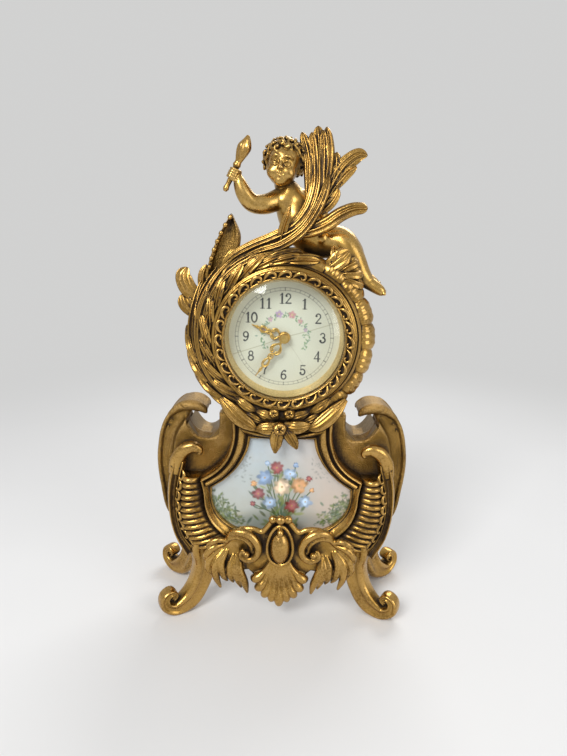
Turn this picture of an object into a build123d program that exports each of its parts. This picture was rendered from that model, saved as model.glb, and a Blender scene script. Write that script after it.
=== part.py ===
from build123d import *
import os
from math import acos, cos, pi, radians, sin, sqrt, tan

# A gilt cast-metal mantel clock in the rococo taste: a waisted case on four scroll legs, with a
# painted porcelain plaque, carries a round drum with a porcelain dial and a spring-driven movement.
# A putto with a torch leans on an acanthus plume on top of the drum.
# Millimetres. The origin is on the table under the middle of the clock, the front faces -Y, +Z is up.

# Walls, depths and clearances of the case
case_front_y = -12.0         # front of the hollow shell
case_depth = 30.0            # front to back of the hollow shell
case_floor_z = 44.0          # underside of the shell
case_floor_half_width = 42.0
wall = 3.0                   # cast wall
frame_depth = 14.0           # the moulded frame stands this far in front of the shell
back_panel_thickness = 1.6
running_gap = 0.05           # radial clearance of a pivot in its hole
end_shake = 0.2              # play of an arbor between the plates
seat_gap = 0.2               # clearance of a piece laid into a recess
air_gap = 0.3                # clearance between pieces that only pass each other

# Plaque, and the front built round it from the middle outwards
plaque_half_width = 43.6
plaque_top_half_width = 19.5
plaque_bottom_z = 56.0
plaque_height = 66.0
plaque_corner_rise = 32.0    # the plaque is widest this far above its bottom
plaque_thickness = 3.0
plaque_lap = 2.0             # the plaque reaches this far behind the frame's edge
plaque_recess = 6.0          # the plaque's face lies this far behind the frame's face
clip_size = 8.0
clip_thickness = 1.0
moulding_width = 7.0         # of the frame, beside the plaque's corner
neck_moulding_width = 11.4   # of the frame, beside the plaque's top
frame_bridge = 3.0           # of the frame, between the plaque's recess and the foliage above it
flute_band_width = 11.9
flute_sink = 2.0             # the fluted band lies this far behind the frame's face
scroll_width = 9.8
scroll_sink = 6.0            # the outer scroll lies this far behind the frame's face
shell_margin = 6.5           # the shell is this much wider than the fluted bands
waist_half_width = 36.0
notch_radius = 10.5          # round gap between the wing's curl and the waist
notch_reach = 13.0           # its middle lies this far outside the waist
notch_rise = 6.0             # and this far above the plaque
wing_reach = 11.5            # the wing stands out this far from the shell
wing_rise = 15.0             # the wing's top above the middle of the notch
wing_thickness = 24.0

# Apron
apron_thickness = 7.5
apron_half_width = 11.5
apron_tip_z = 10.0
apron_rise = 19.0            # its top above the plaque's bottom
apron_scroll_sink = 1.5      # its scrolls lie this far behind its face
boss_half_width = 7.0
boss_half_height = 13.0
boss_rise = 4.5
bow_thickness = 4.5

# Legs
front_leg_inset = 11.5       # from the fluted band's outer edge
front_leg_y = -15.5
front_leg_turn = 30.0        # degrees that the front legs point forwards
rear_leg_inset = 7.0         # from the shell's side
rear_leg_y = 12.0
rear_leg_turn = 38.0         # degrees that the rear legs point backwards
leg_half_width = 6.5
leg_lap = 9.0                # the leg's root reaches this far up the case

# Movement plates and train: teeth and modules
plate_margin = 1.5           # of the plate outside the great wheel
plate_thickness = 1.4
front_plate_y = -8.0         # front face of the front plate
plate_space = 16.2           # between the plates
pillar_radius = 2.0
pillar_inset = 4.0           # from the plate's edge
pillar_nut_thickness = 1.2
wheel_thickness = 1.0
great_teeth, centre_pinion_teeth, great_module = 60, 12, 0.5
centre_teeth, third_pinion_teeth, centre_module = 80, 10, 0.36
third_teeth, fourth_pinion_teeth, third_module = 80, 10, 0.30
fourth_teeth, escape_pinion_teeth, fourth_module = 75, 10, 0.28
cannon_teeth, minute_teeth, cannon_module = 12, 36, 0.5
minute_pinion_teeth, hour_teeth, hour_module = 10, 40, 0.48
escape_teeth = 15
escape_radius = 6.0
escape_tooth_depth = 1.6
lever_distance = 8.5         # from the escape wheel's arbor to the lever's
balance_distance = 9.0       # from the lever's arbor to the balance staff
balance_radius = 8.5
arbor_radius = 1.0
pivot_radius = 0.5
staff_radius = 0.8
centre_arbor_radius = 1.5
pipe_wall = 0.7
hour_pipe_radius = 2.6
ratchet_radius = 5.0
ratchet_teeth = 20
winding_radius = 2.0
winding_square = 2.6
cock_thickness = 1.0
cock_reach = 11.5
hairspring_radius = 4.8
hairspring_height = 0.5
regulator_thickness = 0.8
regulator_reach = 7.5
regulator_swing = 20.0
motion_space = 4.4           # between the front plate and the dial

# Drum, bezel, dial and glass
plate_clearance = 3.5        # from the plate's edge to the drum's bore
drum_wall = 3.0
drum_front_depth = 6.0       # from the drum's front edge to the dial
cover_clearance = 1.2        # from the regulator to the back cover
flange_width = 6.0           # ring inside the drum that carries the dial and the movement
dial_thickness = 1.6
bezel_depth = 6.5
bezel_lip = 1.3
bezel_lap = 2.1              # of the bezel over the glass
sight_inset = 1.8            # of the sight ring inside the bezel
sight_wall = 0.8
sight_flare = 1.4
border_inset = 1.5           # from the drum's outside to the border on the bezel
border_rise = 2.8
glass_clearance = 0.7        # round the glass, inside the drum's bore
glass_thickness = 1.5
glass_dome = 5.5
foliage_half_depth = 9.0     # the cast foliage round the drum: its section is an ellipse
foliage_setback = 5.0        # from the drum's front edge to the middle of that section
foliage_sink = 1.5           # the section reaches this far into the drum before it is cut away
left_foliage_half_width = 6.3
top_foliage_half_width = 6.0
right_foliage_half_width = 7.2
lower_foliage_half_width = 8.5
back_cover_thickness = 1.4

# Hands, in degrees clockwise from twelve, and their lengths
hour_hand_angle = 291.0
minute_hand_angle = 216.0
hour_hand_length = 21.0
minute_hand_length = 29.0
hand_thickness = 0.7
hand_hub_radius = 3.6
hand_swell = 3.2             # how far a hand swells to each side
hand_nut_radius = 2.5

# Winding key and setting knob
key_length = 17.5
key_half_width = 11.0
key_socket = 7.0
key_gap = 0.8                # from the back cover
knob_radius = 5.0
knob_length = 4.5
knob_gap = 1.0               # from the back cover
knob_ridges = 24

# What follows from these sizes, from the middle of the front outwards and from the bottom up
flute_inner_x = plaque_half_width + moulding_width
flute_outer_x = flute_inner_x + flute_band_width
shell_half_width = flute_outer_x + shell_margin
wing_half_width = shell_half_width + wing_reach
front_leg_x = flute_outer_x - front_leg_inset
rear_leg_x = shell_half_width - rear_leg_inset
neck_half_width = plaque_top_half_width + neck_moulding_width
plaque_corner_z = plaque_bottom_z + plaque_corner_rise
plaque_top_z = plaque_bottom_z + plaque_height
notch_x = waist_half_width + notch_reach
notch_z = plaque_top_z + notch_rise
wing_top_z = notch_z + wing_rise
case_back_y = case_front_y + case_depth
frame_front_y = case_front_y - frame_depth
plaque_front_y = frame_front_y + plaque_recess
plaque_back_y = plaque_front_y + plaque_thickness

great_distance = (great_teeth + centre_pinion_teeth) * great_module / 2
plate_radius = great_distance + great_teeth * great_module / 2 + plate_margin
pillar_circle = plate_radius - pillar_inset
drum_inner_radius = plate_radius + plate_clearance
drum_radius = drum_inner_radius + drum_wall
glass_radius = drum_inner_radius - glass_clearance
bezel_inner_radius = glass_radius - bezel_lap
dial_sight_radius = bezel_inner_radius - sight_inset
border_outer_radius = drum_radius - border_inset
lower_foliage_radius = drum_radius - foliage_sink + 2 * lower_foliage_half_width
dial_height = plaque_top_z + plaque_lap + seat_gap + frame_bridge + air_gap + lower_foliage_radius
crest_z = dial_height + drum_radius - foliage_sink + 2 * top_foliage_half_width

# Depths from the dial back to the cover
dial_back_y = front_plate_y - motion_space
dial_face_y = dial_back_y - dial_thickness
drum_front_y = dial_face_y - drum_front_depth
bezel_front_y = drum_front_y - bezel_depth
foliage_y = drum_front_y + foliage_setback
foliage_back_y = foliage_y + foliage_half_depth
inside_front_y = front_plate_y + plate_thickness
back_plate_y = inside_front_y + plate_space                         # front face of the back plate
plates_back_y = back_plate_y + plate_thickness
motion_wheel_y = front_plate_y - 1.7
hour_wheel_y = dial_back_y + 0.7
centre_wheel_y = inside_front_y + 2.0
fourth_wheel_y = centre_wheel_y + 3.0
third_wheel_y = fourth_wheel_y + 2.4
escape_wheel_y = third_wheel_y + 2.4
great_wheel_y = back_plate_y - 4.6
pinion_overlap = 0.8         # a pinion is longer than its wheel by this much on each side
ratchet_y = great_wheel_y + wheel_thickness + 0.5
spring_front_y = fourth_wheel_y + 0.4
spring_back_y = great_wheel_y - 1.0
balance_wheel_y = plates_back_y + 1.6
hairspring_y = balance_wheel_y + wheel_thickness + 0.5
cock_y = hairspring_y + hairspring_height + 0.4
regulator_y = cock_y + cock_thickness
drum_back_y = regulator_y + regulator_thickness + cover_clearance
cover_back_y = drum_back_y + back_cover_thickness
key_front_y = cover_back_y + key_gap
knob_front_y = cover_back_y + knob_gap
dial_axis = Axis((0, 0, dial_height), (0, 1, 0))


# Drawing helpers

def facing_plane(y):
    """A drawing plane at depth y that faces the front: its x is X, its y is Z."""
    return Plane(origin=(0, y, 0), x_dir=(1, 0, 0), z_dir=(0, -1, 0))


def slab(face, y_front, y_back):
    """The face, drawn in X and Z, as a solid from y_front to y_back."""
    return extrude(facing_plane(y_back) * face, amount=y_back - y_front)


def curved_face(*runs):
    """A face whose edge has one curve for each run of points. A run of two points is straight."""
    return make_face([Line(*run) if len(run) == 2 else Spline(*run) for run in runs])


def both_sides(*right_runs):
    """A face symmetric about X = 0. The runs climb its right edge from the bottom's middle to the top's."""
    left_runs = [[(-x, z) for x, z in run] for run in right_runs]
    return curved_face(*right_runs, *left_runs)


def round_bar(x, z, radius, y_front, y_back):
    """A cylinder along Y."""
    return slab(Pos(x, z) * Circle(radius), y_front, y_back)


def ring(x, z, outer, inner, y_front, y_back):
    return slab(Pos(x, z) * (Circle(outer) - Circle(inner)), y_front, y_back)


def slotted_screw(x, z, radius, y_front, y_head):
    """A screw driven in from the back, with its head on y_head."""
    top = y_head + SCREW_HEAD
    screw = round_bar(x, z, radius, y_front, y_head) + round_bar(x, z, 2 * radius, y_head, top)
    screw -= slab(Pos(x, z) * Rectangle(8 * radius, SCREW_SLOT), top - SCREW_SLOT, top)
    return screw.solid()


def turned(*corners):
    """A ring about the dial's axis, from the (radius, Y) corners of its section."""
    section = make_face(Polyline(*corners, close=True))
    return revolve(Plane.XY.offset(dial_height) * section, axis=dial_axis)


def form(stations, facing=(0, -1, 0)):
    """A smooth closed form through stations of (point, half width, half thickness)."""
    points = [Vector(*point) for point, _, _ in stations]
    sections = []
    for i, (_, half_width, half_thickness) in enumerate(stations):
        ahead = points[min(i + 1, len(points) - 1)] - points[max(i - 1, 0)]
        across = Vector(*facing).cross(ahead)
        plane = Plane(origin=points[i], x_dir=across, z_dir=ahead)
        sections.append(plane * Ellipse(half_width, half_thickness))
    return loft(sections)


def ellipsoid(centre, radii):
    return Pos(*centre) * scale(Sphere(1.0), by=radii)


def mirrored(shape):
    return mirror(shape, about=Plane.YZ)


def on_crest(x, y, rise):
    """A point of the crest, from how far it stands above the foliage round the drum."""
    return (x, y, crest_z + rise)


# Gear helpers. Angles in the XZ plane are counter-clockwise as seen from the front.

PRESSURE_ANGLE = radians(20)
WHEEL_ADDENDUM = 0.62        # in modules: short teeth that clear small pinions
PINION_ADDENDUM = 0.85
DEDENDUM = 1.15
BACKLASH = 0.22              # share of half the pitch left free on each tooth


def involute(angle):
    return tan(angle) - angle


def gear_face(x, z, teeth, module, addendum, phase):
    """A spur gear's outline with a tooth centred on phase."""
    pitch = teeth * module / 2
    base = pitch * cos(PRESSURE_ANGLE)
    half_tooth = pi / (2 * teeth) * (1 - BACKLASH)

    def half_angle(radius):
        if radius <= base:
            return half_tooth + involute(PRESSURE_ANGLE)
        return half_tooth + involute(PRESSURE_ANGLE) - involute(acos(base / radius))

    radii = (pitch - DEDENDUM * module, pitch, pitch + addendum * module)
    corners = []
    for tooth in range(teeth):
        middle = phase + 2 * pi * tooth / teeth
        flank = [(r, middle - half_angle(r)) for r in radii]
        flank += [(r, middle + half_angle(r)) for r in reversed(radii)]
        corners += [(x + r * cos(a), z + r * sin(a)) for r, a in flank]
    return make_face(Polyline(*corners, close=True))


def mesh_phase(phase, teeth, direction, other_teeth):
    """The phase of a gear that meshes with another one lying in the given direction from it."""
    pitch_angle = 2 * pi / teeth
    lag = (direction - phase) % pitch_angle
    return direction + pi + lag * teeth / other_teeth + pi / other_teeth


def step_from(place, distance, direction):
    return (place[0] + distance * cos(direction), place[1] + distance * sin(direction))


# Where the arbors stand, in X and Z, and how the wheels are phased
centre_place = (0.0, dial_height)
great_direction = radians(250)
third_direction = radians(60)
fourth_direction = radians(170)
escape_direction = radians(200)
lever_direction = radians(225)
balance_direction = radians(262)
minute_direction = radians(0)
third_distance = (centre_teeth + third_pinion_teeth) * centre_module / 2
fourth_distance = (third_teeth + fourth_pinion_teeth) * third_module / 2
escape_distance = (fourth_teeth + escape_pinion_teeth) * fourth_module / 2
minute_distance = (cannon_teeth + minute_teeth) * cannon_module / 2
great_place = step_from(centre_place, great_distance, great_direction)
third_place = step_from(centre_place, third_distance, third_direction)
fourth_place = step_from(third_place, fourth_distance, fourth_direction)
escape_place = step_from(fourth_place, escape_distance, escape_direction)
lever_place = step_from(escape_place, lever_distance, lever_direction)
balance_place = step_from(lever_place, balance_distance, balance_direction)
minute_place = step_from(centre_place, minute_distance, minute_direction)

centre_phase = 0.0
third_pinion_phase = mesh_phase(centre_phase, centre_teeth, third_direction, third_pinion_teeth)
fourth_pinion_phase = mesh_phase(third_pinion_phase, third_teeth, fourth_direction, fourth_pinion_teeth)
escape_pinion_phase = mesh_phase(fourth_pinion_phase, fourth_teeth, escape_direction, escape_pinion_teeth)
great_phase = mesh_phase(centre_phase, centre_pinion_teeth, great_direction, great_teeth)
minute_phase = mesh_phase(centre_phase, cannon_teeth, minute_direction, minute_teeth)
hour_phase = mesh_phase(minute_phase, minute_pinion_teeth, minute_direction + pi, hour_teeth)

parts = {}


# Case: the hollow shell, its back and the two wings

def shell_face(inset=0.0):
    """Outline of the shell in X and Z, drawn in by inset."""
    floor = (case_floor_half_width, case_floor_z + inset)
    notch_out = (notch_x + notch_radius + inset, notch_z - inset)
    notch_in = (notch_x - notch_radius - inset, notch_z)
    top = (waist_half_width - inset, dial_height)
    side_x = shell_half_width - inset
    side = [(side_x - 6, plaque_bottom_z + 6), (side_x, plaque_corner_z), (side_x - 2, plaque_corner_z + 16)]
    return both_sides(
        [(0, floor[1]), floor],
        [floor, *side, notch_out],
        [notch_out, (notch_x, notch_z - notch_radius - inset), notch_in],
        [notch_in, top],
        [top, (0, dial_height)],
    )


def make_case():
    drum_seat = Pos(0, dial_height) * Circle(drum_radius)
    seat_wall = Pos(0, dial_height) * Circle(drum_radius + wall)
    shell = slab(shell_face() - drum_seat, case_front_y, case_back_y)
    shell -= slab(shell_face(wall) - seat_wall, case_front_y + wall, case_back_y)
    shell -= round_bar(0, dial_height, lower_foliage_radius + air_gap, case_front_y, foliage_back_y + air_gap)
    parts["case_shell"] = shell
    panel = slab(shell_face() - seat_wall, case_back_y, case_back_y + back_panel_thickness)
    parts["back_panel"] = panel


def make_wings():
    """A hooded scroll on each side of the shell, set back from the moulded front."""
    tip = (notch_x, wing_top_z - 6.5)
    foot = (shell_half_width - 11, case_floor_z + 8)
    crook = (notch_x + notch_radius, notch_z)
    face = curved_face(
        [foot, (shell_half_width + 4, case_floor_z + 16), (wing_half_width - 1, plaque_corner_z - 4),
         (wing_half_width, plaque_corner_z + 20), (shell_half_width + 4, notch_z + 4),
         (notch_x + 8, wing_top_z), tip],
        [tip, (notch_x + 6.5, notch_z + 5), crook],
        [crook, foot],
    )
    middle_y = case_front_y + case_depth / 2
    wing = slab(face - shell_face(), middle_y - wing_thickness / 2, middle_y + wing_thickness / 2)
    parts["right_wing"] = wing
    parts["left_wing"] = mirrored(wing)


# Front of the case: the moulded frame with its plaque, the fluted bands and the scrolls beside them

def along_plaque(x, *points):
    """A curve up the front: each point is given from x and from the plaque's bottom."""
    return [(x + out, plaque_bottom_z + rise) for out, rise in points]


FLUTE_INNER_EDGE = along_plaque(
    flute_inner_x, (0, 39.5), (-1.8, 31), (-2.6, 21), (-6, 10.8), (-13.3, 1.8), (-20.6, -4))
FLUTE_OUTER_EDGE = along_plaque(flute_outer_x, (0, 40), (2.4, 25), (2.5, 10), (-0.8, -2), (-8.5, -12.5))


def plaque_face(lap=0.0):
    """Outline of the plaque as it is seen, grown by lap."""
    top = (plaque_top_half_width, plaque_top_z)
    corner = (plaque_half_width, plaque_corner_z)

    def lower(across, up):
        return (plaque_half_width * across + lap, plaque_bottom_z + plaque_corner_rise * up - lap)

    def upper(across, up):
        return (top[0] + (corner[0] - top[0]) * across + lap, corner[1] + (top[1] - corner[1]) * up + lap)

    return both_sides(
        [(0, plaque_bottom_z - lap), lower(0.41, 0.05), lower(0.78, 0.27), lower(0.98, 0.72), upper(1, 0)],
        [upper(1, 0), upper(0.635, 0.2), upper(0.166, 0.6), upper(0, 1)],
        [upper(0, 1), (0, plaque_top_z + lap)],
    )


def make_front():
    flute_top = FLUTE_INNER_EDGE[0]
    flute_foot = FLUTE_INNER_EDGE[-1]
    neck = (neck_half_width, plaque_top_z + 4)
    drop = (flute_top[0] - neck[0], neck[1] - flute_top[1])
    outline = both_sides(
        [(0, plaque_bottom_z - 7), flute_foot],
        list(reversed(FLUTE_INNER_EDGE)),
        [flute_top, (neck[0] + 0.46 * drop[0], neck[1] - 0.74 * drop[1]),
         (neck[0] + 0.13 * drop[0], neck[1] - 0.46 * drop[1]), neck],
        [neck, (neck_half_width, dial_height)],
        [(neck_half_width, dial_height), (0, dial_height)],
    )
    outline -= Pos(0, dial_height) * Circle(lower_foliage_radius + air_gap)
    rebate = plaque_face(plaque_lap + seat_gap)
    frame = slab(outline - plaque_face(), frame_front_y, case_front_y)
    frame -= slab(rebate, plaque_front_y, case_front_y)
    parts["front_frame"] = frame
    parts["plaque"] = slab(plaque_face(plaque_lap), plaque_front_y, plaque_back_y)
    low_clip = (plaque_half_width / 3, plaque_bottom_z - plaque_lap)
    side_clip = (plaque_half_width + plaque_lap, plaque_corner_z - clip_size / 2)
    places = [low_clip, side_clip, (-low_clip[0], low_clip[1]), (-side_clip[0], side_clip[1])]
    places.append((0, plaque_top_z + plaque_lap))
    clip_back_y = plaque_back_y + clip_thickness
    faces = [rebate & Pos(x, z) * Rectangle(clip_size, clip_size) for x, z in places]
    parts["plaque_clips"] = Compound(children=[slab(f, plaque_back_y, clip_back_y).solid() for f in faces])

    flute_face = curved_face(
        FLUTE_INNER_EDGE,
        [flute_foot, FLUTE_OUTER_EDGE[-1]],
        FLUTE_OUTER_EDGE,
        [FLUTE_OUTER_EDGE[0], flute_top],
    )
    flutes = slab(flute_face, frame_front_y + flute_sink, case_front_y)

    outer_edge = along_plaque(
        flute_outer_x, (-0.5, -17.5), (scroll_width - 3.3, -2.5), (scroll_width, 15),
        (scroll_width - 0.6, 36), (scroll_width - 4.3, 51), (-3.5, 60.5), (-11, 56))
    under_curl = along_plaque(flute_outer_x, (-11, 56), (-6, 51), (0, 40))
    scroll_face = curved_face(FLUTE_OUTER_EDGE, [FLUTE_OUTER_EDGE[-1], outer_edge[0]], outer_edge, under_curl)
    scroll = flutes + slab(scroll_face, frame_front_y + scroll_sink, case_front_y)
    parts["right_scroll"] = scroll
    parts["left_scroll"] = mirrored(scroll)


def make_apron():
    """A shell with a raised drop between two leafy scrolls, hung across the front under the plaque."""
    back_y = frame_front_y
    front_y = back_y - apron_thickness
    waist = (apron_half_width, plaque_bottom_z + 6)
    hip = (apron_half_width, apron_tip_z + 20)
    top_z = plaque_bottom_z + apron_rise
    shell_outline = both_sides(
        [(0, apron_tip_z), (apron_half_width - 5, apron_tip_z + 6), hip],
        [hip, waist],
        [waist, (apron_half_width / 2, top_z - 4), (0, top_z)],
    )
    shell = slab(shell_outline, front_y, back_y)
    boss = ellipsoid((0, front_y, plaque_bottom_z), (boss_half_width, boss_rise, boss_half_height))
    parts["apron_shell"] = shell + boss
    end = (apron_half_width + 34.5, plaque_bottom_z - 15)
    upper = along_plaque(apron_half_width, (0, 6), (7, 6), (14.5, 8), (22, 2.5), (28.5, -6), (34.5, -15))
    lower = [end, (end[0] - 8, apron_tip_z + 17), (end[0] - 16, apron_tip_z + 17),
             (end[0] - 25, apron_tip_z + 9.5), hip]
    scroll_outline = curved_face(upper, lower, [hip, waist])
    scroll = slab(scroll_outline, front_y + apron_scroll_sink, back_y)
    parts["right_apron_scroll"] = scroll
    parts["left_apron_scroll"] = mirrored(scroll)


# Legs: four scrolls that spread outwards, each with a toe rolled up at its end

leg_height = case_floor_z + leg_lap
LEG_STATIONS = [             # outwards and up from the leg's root, half thickness in the plane of the scroll
    (0.0, leg_height, 8.0), (0.0, 0.85 * leg_height, 8.8), (-0.5, 0.6 * leg_height, 7.4),
    (3.0, 0.35 * leg_height, 7.0), (12.0, 7.0, 6.6), (21.5, 4.4, 4.6), (27.0, 8.5, 3.8), (26.5, 14.5, 3.0),
    (22.5, 16.6, 2.0),
]


def make_leg(x, y, turn, neighbours):
    """turn is the direction of the leg in plan, in degrees from +X towards +Y."""
    outwards = (cos(radians(turn)), sin(radians(turn)))
    sideways = (-outwards[1], outwards[0], 0)
    points = [Vector(x + u * outwards[0], y + u * outwards[1], z) for u, z, _ in LEG_STATIONS]
    sections = []
    for i, (_, _, half_thickness) in enumerate(LEG_STATIONS):
        ahead = points[min(i + 1, len(points) - 1)] - points[max(i - 1, 0)]
        half_width = leg_half_width * (0.55 + 0.45 * half_thickness / LEG_STATIONS[0][2])
        plane = Plane(origin=points[i], x_dir=sideways, z_dir=ahead)
        rounding = min(half_thickness, half_width) * 0.8
        sections.append(plane * RectangleRounded(2 * half_width, 2 * half_thickness, rounding))
    leg = loft(sections)
    below = 4 * leg_height
    leg -= Pos(x, y, -below / 2) * Box(below, below, below)
    for neighbour in neighbours:
        leg -= neighbour
    return leg.solids().sort_by(SortBy.VOLUME)[-1]


def make_legs():
    hollow = slab(shell_face(), case_front_y, case_back_y + back_panel_thickness)
    beside_front = [hollow, parts["right_scroll"], parts["front_frame"], parts["right_wing"]]
    front = make_leg(front_leg_x, front_leg_y, -front_leg_turn, beside_front)
    rear = make_leg(rear_leg_x, rear_leg_y, rear_leg_turn, beside_front)
    parts["right_front_leg"] = front
    parts["left_front_leg"] = mirrored(front)
    parts["right_rear_leg"] = rear
    parts["left_rear_leg"] = mirrored(rear)


# Drum: the cast ring that holds the dial and the movement, with its bezel, glass and foliage

BOLT_RADIUS = 1.5
BOLT_TURNS = (-17.0, 17.0)   # degrees either side of straight down
BOLT_Y = 6.0
BOLT_HEAD = 2.5
SCREW_RADIUS = 0.8
SCREW_HEAD = 1.0
SCREW_SLOT = 0.5
COVER_SCREW_REACH = 5.0
PLATE_SCREW_REACH = 3.0
COVER_SCREW_ANGLES = (90.0, 210.0, 330.0)
PLATE_SCREW_ANGLES = (0.0, 90.0, 180.0, 270.0)


def radial_bar(radius, inner, outer, turn):
    """A round bar that points at the dial's axis from below, at BOLT_Y."""
    bar = Cylinder(radius, outer - inner, align=(Align.CENTER, Align.CENTER, Align.MIN))
    return (Pos(0, BOLT_Y, dial_height - outer) * bar).rotate(dial_axis, turn)


def around_dial(radius, angles):
    return [step_from(centre_place, radius, radians(a)) for a in angles]


def make_drum():
    flange_inner = drum_inner_radius - flange_width
    drum = turned(
        (drum_inner_radius, drum_front_y), (drum_radius, drum_front_y), (drum_radius, drum_back_y),
        (drum_inner_radius, drum_back_y), (drum_inner_radius, front_plate_y), (flange_inner, front_plate_y),
        (flange_inner, dial_back_y), (drum_inner_radius, dial_back_y),
    )
    bolt_end = drum_radius - drum_wall * 0.7
    seat_radius = drum_radius + wall
    bolts = []
    for turn in BOLT_TURNS:
        drum -= radial_bar(BOLT_RADIUS + running_gap, bolt_end, seat_radius, turn)
        parts["case_shell"] -= radial_bar(BOLT_RADIUS + running_gap, bolt_end, seat_radius + wall, turn)
        head = radial_bar(2 * BOLT_RADIUS, seat_radius - BOLT_HEAD / 5, seat_radius + BOLT_HEAD, turn)
        head -= round_bar(0, dial_height, seat_radius, case_front_y, case_back_y)
        bolts.append((radial_bar(BOLT_RADIUS, bolt_end, seat_radius + BOLT_HEAD / 2, turn) + head).solid())
    parts["drum_bolts"] = Compound(children=bolts)

    cover = round_bar(0, dial_height, drum_radius, drum_back_y, cover_back_y)
    screws = []
    for x, z in around_dial(drum_radius - drum_wall / 2, COVER_SCREW_ANGLES):
        hole = round_bar(x, z, SCREW_RADIUS + running_gap, drum_back_y - COVER_SCREW_REACH, cover_back_y)
        drum -= hole
        cover -= hole
        screws.append(slotted_screw(x, z, SCREW_RADIUS, drum_back_y - COVER_SCREW_REACH, cover_back_y))
    parts["back_cover_screws"] = Compound(children=screws)
    cover -= round_bar(*centre_place, centre_arbor_radius + air_gap, drum_back_y, cover_back_y)
    cover -= round_bar(*great_place, winding_radius + air_gap, drum_back_y, cover_back_y)
    parts["back_cover"] = cover - slab(regulator_slot(), drum_back_y, cover_back_y)

    plate_screws = []
    for x, z in around_dial((plate_radius + flange_inner) / 2, PLATE_SCREW_ANGLES):
        drum -= round_bar(x, z, SCREW_RADIUS + running_gap, front_plate_y - PLATE_SCREW_REACH, front_plate_y)
        screw = round_bar(x, z, SCREW_RADIUS, front_plate_y - PLATE_SCREW_REACH, inside_front_y)
        screw += round_bar(x, z, 2 * SCREW_RADIUS, inside_front_y, inside_front_y + SCREW_HEAD)
        plate_screws.append(screw.solid())
    parts["movement_screws"] = Compound(children=plate_screws)
    parts["drum"] = drum


def make_dial_and_glass():
    dial = round_bar(0, dial_height, drum_inner_radius - seat_gap, dial_face_y, dial_back_y)
    parts["dial"] = dial - round_bar(0, dial_height, hour_pipe_radius + air_gap, dial_face_y, dial_back_y)
    seat = bezel_front_y + bezel_lip
    rim_back = seat + glass_thickness
    edge = drum_inner_radius - seat_gap
    flange_y = dial_face_y - sight_wall
    mouth = dial_sight_radius + sight_flare
    parts["sight_ring"] = turned(
        (dial_sight_radius, dial_face_y), (edge, dial_face_y), (edge, flange_y),
        (dial_sight_radius + sight_wall, flange_y), (mouth + sight_wall, rim_back), (mouth, rim_back),
    )
    glass_seat = glass_radius + seat_gap
    border_front_y = bezel_front_y - border_rise
    parts["bezel"] = turned(
        (bezel_inner_radius + 0.6, border_front_y), (border_outer_radius - 1.0, border_front_y),
        (border_outer_radius, bezel_front_y), (drum_radius, bezel_front_y), (drum_radius, drum_front_y),
        (glass_seat, drum_front_y), (glass_seat, seat), (bezel_inner_radius, seat),
        (bezel_inner_radius, bezel_front_y),
    )
    dome_edge = bezel_inner_radius - seat_gap
    half = dome_edge / 2
    sphere = (dome_edge ** 2 + glass_dome ** 2) / (2 * glass_dome)
    bow = glass_dome - sphere + sqrt(sphere ** 2 - half ** 2)
    section = make_face([
        ThreePointArc((0, seat - glass_dome), (half, seat - bow), (dome_edge, seat)),
        Polyline((dome_edge, seat), (glass_radius, seat), (glass_radius, rim_back), (dome_edge, rim_back)),
        ThreePointArc((dome_edge, rim_back), (half, rim_back - bow), (0, rim_back - glass_dome)),
        Line((0, rim_back - glass_dome), (0, seat - glass_dome)),
    ])
    parts["glass"] = revolve(Plane.XY.offset(dial_height) * section, axis=dial_axis)


def foliage(half_width, start, end):
    """Cast leaves on the outside of the drum, from one angle clockwise from twelve to another."""
    centre = drum_radius - foliage_sink + half_width
    section = Pos(centre, foliage_y) * Ellipse(half_width, foliage_half_depth)
    band = revolve(Plane.XY.offset(dial_height) * section, axis=dial_axis, revolution_arc=end - start)
    band = band.rotate(dial_axis, start - 90)
    return band - round_bar(0, dial_height, drum_radius, frame_front_y, case_back_y)


def strand(*stations):
    """A long leaf wound round the drum, through stations of (degrees clockwise from twelve, distance
    outside the drum, depth behind its front edge, half width, half thickness)."""
    places = []
    for angle, outside, behind, half_width, half_thickness in stations:
        x, z = step_from(centre_place, drum_radius + outside, radians(90 - angle))
        places.append(((x, drum_front_y + behind, z), half_width, half_thickness))
    return form(places)


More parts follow.
